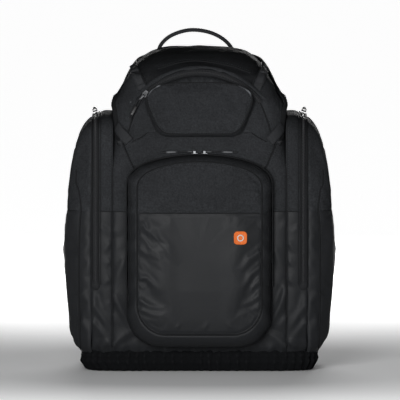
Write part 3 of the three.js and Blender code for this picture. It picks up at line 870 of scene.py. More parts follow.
def hood_fabric():
    points = hood_grid()
    x, y, z = points[..., 0], points[..., 1], points[..., 2]
    forward = smoothstep(y, 60, -40)
    rise = folds(x, z, HOOD_MARKS) * forward
    rise += groove(x, z, TOP_SEAM, 4, 2.2) * forward + groove(x, z, SIDE_SEAM, 5, 2.5) * forward
    rise += groove(-x, z, SIDE_SEAM, 5, 2.5) * forward
    rise += 1.2 * np.exp(-(((z - 574) / 14) ** 2)) * np.cos(np.clip(x / 90, -1.5, 1.5))
    across = folds(x, y, [([(-70, -20), (10, 40)], 18, 3), ([(80, 20), (20, 70)], 16, 2.6),
                          ([(-80, 90), (-10, 96)], 14, 2.4)])
    rise += across * smoothstep(z, 560, 585)
    sides = folds(y, z, [([(-90, 520), (-20, 546)], 10, 3), ([(60, 560), (0, 556)], 10, 2.5)])
    rise += sides * smoothstep(np.abs(x), 95, 130) * smoothstep(y, -120, -90)
    points = out_by(points, rise * smoothstep(z, 421, 440), wrap=True)
    points[..., 0] -= 4.5 * smoothstep(x, 40, 100) * smoothstep(z, 468, 505) * smoothstep(z, 592, 560)
    made = panel("hood_fabric", points, wrap=True, tone=(CANVAS, CANVAS), capped=True)
    # The hood's canvas, with painted shade on its upward-facing top panel.
    skin = cloth("hood_canvas", CANVAS_COLOUR, 1.5, 0.85, 0.35, 0.5, 0.75, 0.04, fleck=0.4,
                 shade=top_panel_shade)
    made.data.materials[0] = made.data.materials[1] = skin
    return finish_piece(made, "fold", ["hood_shell"])


def collars():
    """The column's sides and back, which stay with the bag when the hood opens."""
    made = []
    for side, sign in (("left", -1), ("right", 1)):
        start = float(hood.round_to(np.array(158.5), 440.0))
        end = hood.half_round - float(hood.round_to(np.array(147.0), 440.0))
        way = np.linspace(start, end, 76) * sign
        top = cut_at(lambda z: hood.point(way, z)[:, 1], 500.0, way.shape)
        z = 402 + np.linspace(0, 1, 26)[:, None] * (top - 402)
        points = hood.point(way, z)
        marks = [([(-60, 470), (-20, 430)], 9, 2.4), ([(70, 500), (20, 460)], 9, 2.6)]
        waves = folds(points[..., 1], z, marks)
        points = out_by(points, waves - 0.6 - 1.6 * smoothstep(points[..., 1], 96, 112))
        piece = panel(f"collar_fabric_{side}", points, tone=(CANVAS, CANVAS))
        made.append(finish_piece(piece, "pack", [f"collar_{side}"]))
    return made


def back_panel():
    """The bag's back, from the hem to the hood's edge."""
    def half_at(z):
        return np.minimum(HALF_COLUMN, hood.size(z)[0]) * 0.985

    u = np.linspace(-1, 1, 85)
    low = np.linspace(33, HINGE_Z, 70)[:-1]
    top = cut_at(lambda z: hood.back(u * half_at(z), z), 520.0, u.shape)
    high = HINGE_Z + np.linspace(0, 1, 34)[:, None] * (top - HINGE_Z)
    z = np.vstack([np.broadcast_to(low[:, None], (69, 85)), high])
    limit = np.where(z < HINGE_Z, HALF_COLUMN, half_at(np.maximum(z, 381)))
    x = u * limit
    share = smoothstep(z, 365, HINGE_Z)
    on_hood = hood.back(np.clip(x, -limit * 0.985, limit * 0.985), np.maximum(z, 381))
    y = (1 - share) * body.back(x, z) + share * on_hood
    gathered = [(a, 35) for a in np.linspace(-HALF_COLUMN, HALF_COLUMN, 30)]
    rise = folds(x, z, puckers(gathered, 24, 11, 4.2, 3.2, -1)) - 4 * smoothstep(z, 48, 33)
    rise = rise - 3.5 * smoothstep(np.abs(x), 152, 160) * smoothstep(z, 480, 420)
    rise = rise + (139.8 - y).clip(0, 6) * smoothstep(z, 380, 440) * smoothstep(np.abs(x), 128, 100)
    made = panel("back_panel_fabric", np.stack([x, y + rise, z], -1))
    return finish_piece(made, "pack", ["back_panel"])


# ---- Boot compartments ----------------------------------------------------------------------
def over_the_top(x, count):
    """The body's outline at a distance from its middle: up the front, over the top, down the back."""
    zs = np.linspace(33, 470, 260)
    half = body.size(zs)[0]
    zs = zs[half >= x] if x > 178 else zs
    front = np.stack([body.front(x, zs), zs], 1)
    back = np.stack([body.back(x, zs), zs], 1)[::-1]
    path = resample(np.vstack([front, back]), 600)
    kernel = np.ones(31) / 31
    inner = np.stack([np.convolve(path[:, k], kernel, "valid") for k in (0, 1)], 1)
    return resample(np.vstack([path[:15], inner, path[-15:]]), count)


GUSSET_MARKS = [
    ([(197, 128), (182, 104), (164, 78)], 8, 5), ([(197, 96), (180, 72), (168, 56)], 7, 4.5),
    ([(163, 56), (182, 46)], 6, 4), ([(197, 140), (184, 122), (172, 116)], 8, 3.5),
    ([(163, 240), (172, 226), (181, 222)], 6, 3), ([(163, 205), (176, 196)], 6, 2.6),
    ([(163, 172), (180, 160)], 7, 3), ([(182, 268), (168, 256)], 6, 2.4),
]


def boot_gussets():
    """The strip of each boot compartment that its zip runs on, front, top and back."""
    made = []
    for side, sign in (("left", -1), ("right", 1)):
        xs = np.array([159.0, *np.linspace(HALF_COLUMN, HALF_DOOR, 20), HALF_DOOR + 0.6])
        outline = np.array([over_the_top(max(x, HALF_COLUMN), 300) for x in xs])
        wide = np.broadcast_to(xs[:, None], outline.shape[:2])
        points = np.stack([wide, outline[..., 0], outline[..., 1]], -1)
        across, z = points[..., 0], points[..., 2]
        forward = points[..., 1] < 0
        sewn = puckers([(161, 50), (161, 290)], 15, 24, 4.6, 1.5, -1)
        gathers = puckers([(160, 35), (200, 35)], 24, 10, 4.2, 3.4, -1)
        rise = folds(across, z, gathers) + folds(across, z, GUSSET_MARKS + sewn) * (forward + 0.6 * ~forward)
        rise += 1.6 * np.sin(np.pi * (across - 159) / 26).clip(0)
        rise -= 2.4 * smoothstep(across, 162, 160) + 2.2 * smoothstep(across, 195.5, 198)
        rise -= 4 * smoothstep(z, 48, 33) + np.exp(-(((z - SPLIT_Z) / 2.2) ** 2))
        points = out_by(points, rise)
        inner = points[:1] * np.array([1, 0.8, 1]) - np.array([0.8, 0, 30])
        points = np.concatenate([inner, points]) * np.array([sign, 1, 1])
        piece = panel(f"boot_gusset_fabric_{side}", points)
        finish_piece(piece, "pack", [f"boot_gusset_{side}", f"boot_zip_{side}"])
        made.append(piece)
    return made


SIDE_FRONT_SEAM = [
    (219, 40), (221, 120), (221.5, 200), (220, 270), (218, 300), (221, 330), (227, 348), (226, 372),
]
DOOR_FRONT_MARKS = [
    ([(199, 268), (208, 258), (214, 232)], 6, 3.4), ([(200, 248), (208, 226), (214, 204)], 7, 3.6),
    ([(199, 205), (210, 180)], 7, 3), ([(218, 150), (206, 128), (200, 100)], 8, 4),
    ([(217, 96), (206, 72)], 7, 3.6), ([(216, 312), (207, 300), (202, 276)], 7, 3),
]
DOOR_SIDE_MARKS = [
    ([(-118, 60), (-60, 96), (0, 92)], 16, 5), ([(100, 50), (60, 90), (0, 110)], 16, 4.5),
    ([(-90, 230), (-40, 180), (10, 168)], 18, 5), ([(90, 260), (50, 200)], 16, 4),
    ([(-70, 420), (-20, 380), (40, 372)], 16, 4.5), ([(80, 400), (40, 350)], 15, 4),
    ([(-60, 330), (-10, 300)], 14, 4),
]


def boot_doors():
    """The outer panel of each boot compartment, from the hem to the crown; its upper part opens."""
    made = []
    for side, sign in (("left", -1), ("right", 1)):
        upper = body.rows[body.rows[:, 0] > 400]
        crown = float(np.interp(-HALF_DOOR, -upper[:, 1], upper[:, 0]))
        z = np.linspace(33, crown, 112)
        start = body.round_to(np.full(z.shape, HALF_DOOR + 0.4), z)
        t = np.linspace(0, 1, 90)
        way = start[:, None] + t * (body.half_round - 2 * start[:, None])
        points = body.point(way, np.broadcast_to(z[:, None], way.shape))
        x, y, z = points[..., 0], points[..., 1], points[..., 2]
        forward = y < -60
        gathers = puckers([(-140, 35), (140, 35)], 26, 12, 4.6, 3.6, -1)
        rise = folds(x, z, DOOR_FRONT_MARKS) * smoothstep(y, -90, -115)
        rise += folds(y, z, DOOR_SIDE_MARKS + gathers) * smoothstep(y, -125, -95)
        rise += groove(x, z, SIDE_FRONT_SEAM, 2.6, 2.2) * forward
        rise = 0.75 * rise - 2.2 - 1.8 * smoothstep(z, 360, 400) + 6.5 * smoothstep(z, 110, 52)
        edge = np.minimum(t, 1 - t)
        rise = rise - 2.2 * smoothstep(edge, 0.012, 0) - 4 * smoothstep(z, 48, 33)
        rise -= np.exp(-(((z - SPLIT_Z) / 2.2) ** 2))
        points = out_by(points, rise) * np.array([sign, 1, 1])
        piece = panel(f"boot_side_fabric_{side}", points)
        flat = points_of(piece)
        height = flat[:, 2]
        sewn = np.abs(np.abs(flat[:, 0]) - HALF_DOOR) < 3
        pins = sewn | (height < 40) | (np.abs(height - SPLIT_Z) < 0.6) | (height > crown - 2)
        simulate(piece, pins, 0.25, 0.008, 2.6, frames=14, bend=1.2)
        finish_piece(piece, f"door_{side}", [f"boot_door_{side}", f"boot_cup_{side}"])
        made.append(piece)
    return made


# ---- Hem and base ---------------------------------------------------------------------------
HEM_RUFFLES = 96
hem = Loft([
    [0, 203, -123, 125], [4, 209.5, -130, 131], [16, 215, -135, 136], [30, 216, -136, 136],
    [40, 212, -131, 132],
], 0.3)


def base_hem():
    """An elastic hem, gathered into ruffles all the way round."""
    cols = 620
    way = np.linspace(-hem.half_round, hem.half_round, cols, endpoint=False)
    t = np.linspace(0, 1, 17)[:, None]
    wander = np.cumsum(RNG.normal(0, 0.16, cols))
    even = np.linspace(0, 2 * math.pi * HEM_RUFFLES, cols, endpoint=False)
    phase = even + wander - np.linspace(0, wander[-1], cols)
    round_once = np.linspace(0, 2 * math.pi, cols)
    swell = 0.6 + 0.4 * np.sin(17 * round_once) * np.cos(7 * round_once)
    ruffle = swell * (np.sin(phase + 1.2 * np.sin(3.0 * t)) + 0.45 * np.sin(2.3 * phase + 5 * t))
    edge = 3.0 * np.sin(phase * 0.31) * smoothstep(t, 0.6, 1)
    z = 1 + 38 * t + edge + 0 * phase
    points = hem.point(way + 0 * t, np.clip(z, 0.5, 42))
    channels = 1.4 * np.exp(-(((t - 0.45) / 0.1) ** 2)) - 1.2 * np.exp(-(((t - 0.62) / 0.05) ** 2))
    points = out_by(points, 1.9 * ruffle * (0.35 + np.sin(np.pi * t * 0.9)) + channels, wrap=True)
    points[..., 2] = np.maximum(points[..., 2], 0.2)
    made = panel("hem_fabric", points, wrap=True, tone=(HEM, HEM), thick=2)
    finish_piece(made, "pack", ["base_hem"])
    cols = 120
    way = np.linspace(-hem.half_round, hem.half_round, cols, endpoint=False)
    rim = hem.point(way, np.full(cols, 1.0))
    middle = np.array([0, 1, 0])
    rings = [middle + (rim - middle) * k for k in np.linspace(0.985, 0.02, 22)]
    points = np.array(rings)
    x, y = points[..., 0], points[..., 1]
    dimples = 1.2 * np.sin(x / 21) * np.cos(y / 17)
    points[..., 2] = 3.4 + dimples * smoothstep(np.hypot(x / 212, y / 130), 1, 0.7)
    floor = panel("base_fabric", points, wrap=True, tone=(TARPAULIN, TARPAULIN), thick=1.6, capped=True)
    return finish_piece(floor, "pack", ["base_panel"])


# ---- Front pocket ---------------------------------------------------------------------------
POCKET_RINGS = [
    (-137, 1.0), (-143, 1.004), (-150, 1.004), (-157, 1.0), (-164, 0.995), (-171, 0.985), (-178, 0.967),
    (-184, 0.945), (-189, 0.92), (-193, 0.895), (-195.5, 0.875),
]
FACE_MARKS = [
    ([(-112, 280), (-84, 254), (-52, 220), (-36, 202)], 10, 5.5),
    ([(-112, 262), (-92, 236), (-66, 214)], 8, 4),
    ([(-113, 236), (-98, 222), (-76, 214)], 7, 3), ([(-113, 176), (-96, 178), (-80, 160)], 6, 4.5),
    ([(-113, 166), (-100, 158)], 5, 3), ([(-112, 138), (-92, 126), (-62, 122)], 6.5, 4.5),
    ([(-110, 120), (-84, 112), (-58, 110)], 6, 3), ([(112, 228), (92, 214), (76, 186)], 8, 4.6),
    ([(113, 200), (94, 184), (84, 158)], 7, 4.4), ([(113, 178), (98, 158), (92, 136)], 6.5, 4.2),
    ([(113, 150), (94, 132), (76, 126)], 7, 4.2), ([(112, 126), (92, 116), (70, 118)], 6, 3.2),
    ([(106, 104), (86, 112), (66, 108)], 6, 3), ([(104, 346), (90, 356), (72, 340)], 6, 4),
    ([(110, 330), (94, 338), (78, 324)], 6, 3.6), ([(-104, 352), (-88, 352), (-70, 340)], 7, 3.2),
    ([(-54, 386), (-48, 370)], 4, 2.2), ([(-30, 389), (-26, 374)], 4, 2.0), ([(0, 390), (-2, 376)], 4, 1.8),
    ([(34, 389), (38, 374)], 4, 2), ([(60, 384), (58, 368)], 5, 2.2), ([(-74, 372), (-64, 356)], 5, 2.4),
    ([(-40, 84), (-36, 96)], 4, 1.6), ([(10, 83), (16, 97)], 4, 1.6), ([(58, 86), (52, 99)], 4, 1.8),
]


def pocket_outline(count=288, grow=0.0):
    half, low, corner, radius = 131 + grow, 50 - grow, 62 + grow, 330 + grow
    turn = np.linspace(0, math.pi / 2, 24)
    lower = np.stack([half - corner + corner * np.sin(turn), low + corner * (1 - np.cos(turn))], 1)
    arch = np.linspace(math.asin(75 / 330), 0, 40)
    top = np.stack([radius * np.sin(arch), 69 + radius * np.cos(arch)], 1)
    t = np.linspace(0, 1, 20)[:, None]
    start, pull, end = np.array([half, 345]), np.array([half, 377 + grow]), top[0]
    shoulder = (1 - t) ** 2 * start + 2 * t * (1 - t) * pull + t * t * end
    right = np.vstack([[[0, low]], lower, shoulder, top[1:]])
    left = right[::-1][1:-1] * [-1, 1]
    return resample(np.vstack([right, left]), count, closed=True)


def pocket_ring(y, across, outline):
    """The pocket's outline at a depth, drawn in towards its middle."""
    z = 303 + (outline[:, 1] - 303) * (1 - (1 - across) * 0.69)
    return np.stack([outline[:, 0] * across, np.full(len(z), float(y)), z], 1)


def front_pocket():
    """The raised pocket: a slack gusset and a crowned, simulated face."""
    outline = pocket_outline()
    rings = np.array([pocket_ring(y, across, outline) for y, across in POCKET_RINGS])
    x, y, z = rings[..., 0], rings[..., 1], rings[..., 2]
    slack = np.interp(y, [-196, -190, -165, -140], [0, 1, 1, 0])
    along = np.arange(len(outline)) / len(outline) * 2 * math.pi
    waves = 1.3 * np.sin(13 * along + 0.7) * np.sin(5 * along)
    waves = waves + 0.9 * np.sin(31 * along + 2 * np.sin(3 * along))
    sag = 3.5 * smoothstep(z, 120, 60)
    push = slack * (waves * smoothstep(np.abs(x), 60, 120) + sag + 1.5)
    away = unit(np.stack([x, 0 * x, (z - POCKET_Z) / 1.6], -1))
    gusset = rings + away * push[..., None]
    made = panel("pocket_gusset_fabric", gusset, wrap=True)
    finish_piece(made, "flap", ["front_pocket_base", "front_pocket_zip"])

    seam = rings[-1]
    middle = np.array([0, seam[0, 1], POCKET_Z])
    shares = 1 - np.linspace(0, 1, 46) ** 1.15 * 0.985
    face = np.array([middle + (seam - middle) * k for k in shares])
    x, z = face[..., 0], face[..., 2]
    inside = 1 - shares[:, None]
    crown = 9.5 * np.clip(inside * 1.9, 0, 1) ** 0.55
    marks = FACE_MARKS + puckers(seam[:, [0, 2]], 9, 12, 3.0, 1.3, 1)
    rise = (crown + folds(x, z, marks)) * smoothstep(inside, -0.01, 0.05)
    rise += groove(x, z, [(-130, SPLIT_Z), (130, SPLIT_Z)], 2.4, 1.3)
    face[..., 1] -= rise
    made = panel("pocket_face_fabric", face, wrap=True, capped=True)
    flat = points_of(made)
    pins = np.abs(flat[:, 2] - SPLIT_Z) < 0.6
    pins[:len(seam)] = True
    free = 0.12 + 0.88 * smoothstep(np.abs(flat[:, 0]), 34, 88)
    simulate(made, pins, 0.9, 0.012, 5, frames=18, bend=1.2, free=free)
    finish_piece(made, "flap", ["front_pocket_flap"])
    return made, seam


BADGE_SECTION = [
    (12, -1.6), (12.2, 0.6), (12, 1.5), (11.4, 2.0), (10.4, 2.1), (9.9, 1.7), (9.4, 1.6), (4, 1.7),
    (0.2, 1.7),
]


def badge(tree):
    """A square rubber patch with a plain ring on it; its section is (half width, height) pairs."""
    (at,), (normal,) = drape(tree, [(75, FRONT_Y, 251)], (0, 1, 0), 0.2)
    normal = Vector(normal)
    across = Vector((1, 0, 0)).cross(normal).cross(normal).normalized() * -1
    up = normal.cross(across)
    up = up if up.z > 0 else -up
    across, up, normal = np.array(across), np.array(up), np.array(normal)
    turn = np.linspace(0, 2 * math.pi, 64, endpoint=False)
    square = [np.sign(wave) * np.abs(wave) ** 0.5 for wave in (np.cos(turn), np.sin(turn))]
    parts = Parts()
    rings = []
    for size, lift in BADGE_SECTION:
        rings.append([at + (a * size * across + b * size * up) + normal * lift for a, b in zip(*square)])
    parts.add(np.array(rings), grid(len(rings), 64, wrap=True), 0)
    turn = np.linspace(0, 2 * math.pi, 48, endpoint=False)
    ring = [at + 5.2 * (math.cos(a) * across + math.sin(a) * up) + normal * 2.0 for a in turn]
    parts.add(*cord_along(np.array(ring), 1.1, normal, closed=True), use=1)
    made = parts.make("badge_patch", ORANGE, WHITE_MARK)
    return finish_piece(made, "front_flap", ["badge"])


# ---- Goggle pocket, drawn on the hood's leaning face: x across, v up, w outward --------------
UP_FACE = np.array([0, math.sin(HOOD_TILT), math.cos(HOOD_TILT)])
OFF_FACE = np.array([0, -math.cos(HOOD_TILT), math.sin(HOOD_TILT)])
ON_FACE = np.array([0, FRONT_Y, HINGE_Z])
ARCH_V, ARCH_R = -4.2, 137.75
GOGGLE_MIDDLE = np.array([0, 66.0])


def on_face(x, v, w):
    x, v, w = np.broadcast_arrays(x, v, w)
    return ON_FACE + x[..., None] * np.array([1, 0, 0]) + v[..., None] * UP_FACE + w[..., None] * OFF_FACE


def by_angle(outline, count=264):
    """The outline's points at equal angles round the goggle pocket's middle."""
    dense = resample(outline, 4000, closed=True) - GOGGLE_MIDDLE
    angle, radius = np.arctan2(dense[:, 1], dense[:, 0]), np.hypot(*dense.T)
    order = np.argsort(angle)
    at = np.linspace(-math.pi, math.pi, count, endpoint=False)
    radius = np.interp(at, angle[order], radius[order], period=2 * math.pi)
    return GOGGLE_MIDDLE + np.stack([np.cos(at), np.sin(at)], 1) * radius[:, None]


def goggle_outlines():
    arc = np.linspace(math.acos(100.5 / 130.5), math.pi / 2, 30)
    base = [(0, 10.5), (60, 10.5), (72, 14), (80, 22), (88, 40), (96, 60), (100, 72)]
    right = np.vstack([base, np.stack([130.5 * np.cos(arc), ARCH_V + 130.5 * np.sin(arc)], 1)])
    back = np.vstack([right, right[::-1][1:-1] * [-1, 1]])
    half = [
        (0, 13), (40, 13), (62, 14.5), (76, 25), (88, 50), (97, 76), (92, 93), (76, 104), (40, 109.5),
        (0, 110.5),
    ]
    face = curve(half + [(-x, v) for x, v in half[::-1][1:-1]], 600, closed=True)
    return by_angle(back), by_angle(face)


GOGGLE_MARKS = [
    ([(-90, 40), (-66, 34), (-46, 44)], 8, 3.4), ([(-92, 52), (-74, 50)], 7, 2.4),
    ([(66, 22), (52, 34), (30, 36)], 8, 2.6), ([(88, 60), (70, 66)], 8, 2), ([(90, 90), (76, 84)], 7, 2.4),
    ([(-84, 96), (-68, 88)], 7, 2.0),
    ([(-50, 106), (-40, 92)], 8, 1.6),
]


def goggle_pocket():
    """The goggle pocket on the hood: gusset, simulated face, piping and rim."""
    back, face = goggle_outlines()
    steps = [(0, 1.5), (0.06, 5.5), (0.2, 9.5), (0.42, 12.6), (0.68, 14.8), (0.88, 15.8), (1, 15.4)]
    rings = np.array([on_face(*(back + (face - back) * k).T, w) for k, w in steps])
    along = np.linspace(0, 2 * math.pi, len(back), endpoint=False)
    slack = np.array([0, 0.3, 0.8, 1, 0.9, 0.5, 0])[:, None]
    waves = slack * (1.1 * np.sin(17 * along + 1) * np.sin(4 * along) + 0.6 * np.sin(37 * along))
    gusset = rings + waves[..., None] * OFF_FACE
    made = panel("goggle_gusset_fabric", gusset, wrap=True, tone=(CANVAS, CANVAS))
    finish_piece(made, "goggle_pocket", ["goggle_pocket"])
    shares = 1 - np.linspace(0, 1, 34) ** 1.1 * 0.98
    flat = np.array([GOGGLE_MIDDLE + (face - GOGGLE_MIDDLE) * k for k in shares])
    inside = 1 - shares[:, None]
    x, v = flat[..., 0], flat[..., 1]
    marks = GOGGLE_MARKS + puckers(face, 8, 13, 3.2, 0.8, 1)
    crown = 6.0 * np.clip(inside * 2.2, 0, 1) ** 0.6
    rise = (crown + folds(x, v, marks)) * smoothstep(inside, -0.01, 0.06)
    points = on_face(x, v, 15.4 + rise)
    made = panel("goggle_face_fabric", points, wrap=True, tone=(CANVAS, CANVAS), capped=True)
    pins = np.zeros(len(made.data.vertices), bool)
    pins[: len(face)] = True
    simulate(made, pins, 0.6, 0.008, 4, frames=14)
    finish_piece(made, "goggle_pocket")
    seams = Seams("goggle_piping", "canvas", "goggle_pocket")
    edge = on_face(*face.T, 15.8)
    seams.parts.add(*cord_along(edge, 1.5, OFF_FACE, closed=True), use=0)
    inner = GOGGLE_MIDDLE + (face - GOGGLE_MIDDLE) * 0.962
    tree = tree_of(made)
    path, normals = drape(tree, [on_face(*p, 15.0) for p in inner], -OFF_FACE, 0.1)
    seams.sew(path, normals).make()
    base = GOGGLE_MIDDLE + (back - GOGGLE_MIDDLE) * 0.995
    rim = Seams("goggle_rim", "webbing", "goggle_pocket")
    rim.parts.add(*cord_along(on_face(*base.T, 2.0), 1.3, OFF_FACE, closed=True), use=3)
    rim.make()


def goggle_zip():
    """The arched zip: two tapes, teeth and a puckered storm flap above them."""
    turn = np.radians(np.linspace(-54, 54, 90))
    middle = on_face(ARCH_R * np.sin(turn), ARCH_V + ARCH_R * np.cos(turn), 1.6)
    normals = np.broadcast_to(OFF_FACE, middle.shape)
    seams = Seams("goggle_zip_strip", "webbing", "hood")
    seams.tape(middle, normals, 11, 0.9, 0.0).zip(middle, normals, 0.4)
    made = seams.make()
    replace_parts(made, "goggle_zip")
    t = np.linspace(0, 1, 9)[:, None]
    turn = np.radians(np.linspace(-58, 58, 150))
    crinkle = RNG.normal(0, 1, 150)
    crinkle = np.convolve(np.r_[crinkle[-6:], crinkle, crinkle[:6]], np.hanning(13) / 3.4, "valid")
    ends = smoothstep(np.abs(turn), math.radians(58), math.radians(46))
    radius = ARCH_R + 12.5 - 6.5 * t * ends + 1.0 * crinkle * t
    lift = 0.7 + ends * (2.3 * np.sin(np.pi * np.clip(t * 0.7, 0, 1)) + 1.0 * crinkle * t)
    points = on_face(radius * np.sin(turn), ARCH_V + radius * np.cos(turn), lift)
    flap = panel("goggle_storm_flap", points, tone=(CANVAS, CANVAS), thick=1.2)
    return finish_piece(flap, "hood")


# ---- Zips on curved fabric ------------------------------------------------------------------
BOOT_ZIP_X = 191


def boot_zips(gussets):
    """Each boot compartment's zip, its taped edges, and a tab over each end of the zip."""
    for side, sign, gusset in (("left", -1, gussets[0]), ("right", 1, gussets[1])):
        tree = tree_of(gusset)
        seams = Seams(f"boot_zip_{side}", "webbing", "pack")
        for shift, kind in ((-9.5, "edge"), (-5.5, "lip"), (0, "zip"), (5.2, "lip"), (7.2, "edge")):
            x = BOOT_ZIP_X + shift
            line = over_the_top(x, 420)
            line = line[line[:, 1] > DOOR_HINGE_Z - 6]
            places, normals = [], []
            for y, z in line:
                toward = Vector(unit(np.array([0, y, z]) - np.array([0, 0, min(z, 400)])))
                hit, normal = meet(tree, Vector((sign * x, y, z)) + toward * 40, -toward)
                if hit is not None:
                    places.append(hit)
                    normals.append(normal)
            path, normals = resample(places, 260), unit(resample(normals, 260))
            if kind == "zip":
                seams.tape(path, normals, 10, 0.9, 0.9).zip(path, normals, 1.3)
                zip_path, zip_normals = path, normals
            elif kind == "lip":
                seams.pipe(path, normals, 1.5, -0.4).sew(path + normals * 2.2, normals)
            else:
                seams.pipe(path, normals, 0.8).sew(path + normals * 0.5, normals)
        for end, inner in ((0, 4), (-1, -5)):
            at, up = zip_path[end], zip_normals[end]
            ahead = unit(zip_path[inner] - at)
            across = np.cross(up, ahead)
            turn = np.linspace(-math.pi / 2, math.pi / 2, 20)
            arc = [at - ahead * 9 * math.cos(a) + across * 7 * math.sin(a) for a in turn]
            lid = np.array([at + ahead * 9 - across * 7, *arc, at + ahead * 9 + across * 7])
            section = ((1.06, -0.3), (1, 1.6), (0.9, 2.3), (0.5, 2.6), (0.03, 2.7))
            rings = [at + (lid - at) * k + up * w for k, w in section]
            seams.parts.add(np.array(rings), grid(5, len(lid)), use=3)
            seams.parts.add(*cord_along(np.array(arc) + up * 1.2, 1.1, up), use=0)
        seams.make()


def main_zip():
    """The zip round the hood's edge, with a folded flap above it on each side."""
    begin = float(hood.round_to(np.array(TAB_X + 1.0), 430.0))
    way = np.linspace(begin, hood.half_round - 0.02, 240)
    rows = {}
    for drop in (-7.5, 4.0, 10.5):
        z = cut_at(lambda z: hood.point(way, z)[:, 1], 470.0, way.shape) - drop
        rows[drop] = hood.point(way, z)
    at = rows[4.0]
    outward = unit(np.cross(np.gradient(at, axis=0), rows[-7.5] - rows[10.5]))
    outward = outward * np.sign((outward * (at - np.array([0, 0, 470]))).sum(1, keepdims=True))
    for side, sign in (("left", -1), ("right", 1)):
        mirror = np.array([sign, 1, 1])
        path, normals = at * mirror, outward * mirror
        below = Seams(f"main_zip_{side}", "webbing", "pack")
        below.tape(path, normals, 10, 0.9, 0.8).zip(path, normals, 1.2)
        lower = rows[10.5] * mirror
        below.pipe(lower, normals, 1.6, -0.2).sew(lower + normals * 2.0, normals)
        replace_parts(below.make(), "main_zip")
        upper = rows[-7.5] * mirror
        flap = Seams(f"hood_edge_{side}", "canvas", "fold")
        line = resample((upper + path) / 2 + normals * 2.6, 200)
        flap.parts.add(*sweep(line, strap_section(9, 1.2, crown=0.6), resample(upper - lower, 200)), use=0)
        flap.sew(upper + normals * 1.4, normals).pipe(upper, normals, 1.2, 0.0)
        flap.make()


# ---- Sliders, pullers and their cords -------------------------------------------------------
def puller(name, pivot, ahead, across, loop, bend=0.0):
    """A pressed metal link with a cord loop and a moulded grip at its end."""
    pivot = np.array(pivot, float) / MM
    ahead, across = unit(np.array(ahead, float)), unit(np.array(across, float))
    up = np.cross(ahead, across)

    def place(a, b):
        return pivot + a * ahead + b * across

    def turned(a, b):
        return place(16 + a * math.cos(bend) - b * math.sin(bend), a * math.sin(bend) + b * math.cos(bend))

    def wave(a):
        return 0.9 * math.sin(a / loop * 2 * math.pi)

    parts = Parts()
    turn = np.linspace(0, 2 * math.pi, 20)[:-1]
    eye = np.array([place(1.9 + 2.3 * math.cos(a), 2.1 * math.sin(a)) for a in turn])
    parts.add(*cord_along(eye, 0.75, up, closed=True), use=0)
    link = np.array([place(a, 0) for a in np.linspace(3.5, 16, 6)])
    parts.add(*sweep(link, strap_section(4.6, 1.6, crown=0.15), across), use=0)
    reach, radius = loop - 4.0, 1.25
    arc = np.linspace(math.pi / 2, -math.pi / 2, 12)
    top = [(a, 1.7 + wave(a) * 0.5) for a in np.linspace(-2, reach, 14)]
    tip = [(reach + 1.7 * math.cos(a), 1.7 * math.sin(a)) for a in arc[1:-1]]
    bottom = [(a, -1.7 - wave(a) * 0.4) for a in np.linspace(reach, -2, 14)]
    tail = [(-2 - 1.7 * math.cos(a), -1.7 * math.sin(a)) for a in arc[1:-1]]
    line = np.array([turned(a, b) for a, b in [*top, *tip, *bottom, *tail]])
    parts.add(*cord_along(resample(line, 90, closed=True), radius, up, closed=True), use=1)
    grip = np.array([turned(a, 0) for a in np.linspace(reach * 0.36, reach * 0.86, 10)])
    size = 1 - 0.22 * np.linspace(-1, 1, 10) ** 2
    section = strap_section(6.6, 3.6, crown=0.2)
    points, faces = sweep(grip, section, np.cross(up, unit(grip[-1] - grip[0])))
    centres = np.repeat(grip, len(section), 0)
    points = centres + (points - centres) * np.repeat(size, len(section))[:, None]
    parts.add(points, faces, use=2)
    link_metal = METAL if name.startswith(("front", "goggle")) else DARK_METAL
    grip_plastic = GREY_PLASTIC if name.startswith("front") else PLASTIC
    made = parts.make(f"{name}_cord_puller", link_metal, CORD, grip_plastic)
    return finish_piece(made, f"{name}_puller", [f"{name}_puller"])


def pullers():
    joints = {j["name"]: j for j in frame["joints"]}
    tilt = 9 / 330
    for side, sign in (("left", -1), ("right", 1)):
        place = joints[f"front_puller_pivot_{side}"]["pos_m"]
        puller(f"front_{side}", place, (sign * math.cos(tilt), 0, -math.sin(tilt)), (0, 1, 0), 46)
        place = joints[f"boot_puller_pivot_{side}"]["pos_m"]
        lean = math.radians(19.2)
        puller(f"boot_{side}", place, (0, 1, 0), (sign * -math.cos(lean), 0, math.sin(lean)), 34)
    parked = math.radians(46)
    toward = -math.cos(parked) * np.array([1, 0, 0]) - math.sin(parked) * UP_FACE
    side = math.sin(parked) * np.array([1, 0, 0]) - math.cos(parked) * UP_FACE
    puller("goggle", joints["goggle_puller_pivot"]["pos_m"], toward, side, 42, 0.3)
    place = joints["main_puller_pivot"]["pos_m"]
    puller("main", place, (1, 0, 0), (0, 0.2, -0.98), 30, math.pi / 2)


# ---- Webbing and handle ---------------------------------------------------------------------
def strap(name, path, side, width, thick, ride, stands_for=(), crown=0.0, count=60):
    """Flat webbing along a path, with a row of stitches near each edge."""
    path = curve(path, count)
    parts = Parts()
    parts.add(*sweep(path, strap_section(width, thick, crown=crown), side), use=0)
    ahead = unit(np.gradient(path, axis=0))
    across = np.broadcast_to(np.asarray(side, float), path.shape)
    across = unit(across - (across * ahead).sum(1, keepdims=True) * ahead)
    up = np.cross(ahead, across)
    for face in (1, -1):
        for edge in (-1, 1):
            line = path + across * edge * (width / 2 - 2.2) + up * face * thick * 0.5 * (1 + crown * 0.3)
            stitches(parts, line, up * face, 5.0, use=1)
    made = parts.make(name, WEBBING, THREAD)
    return finish_piece(made, ride, stands_for)


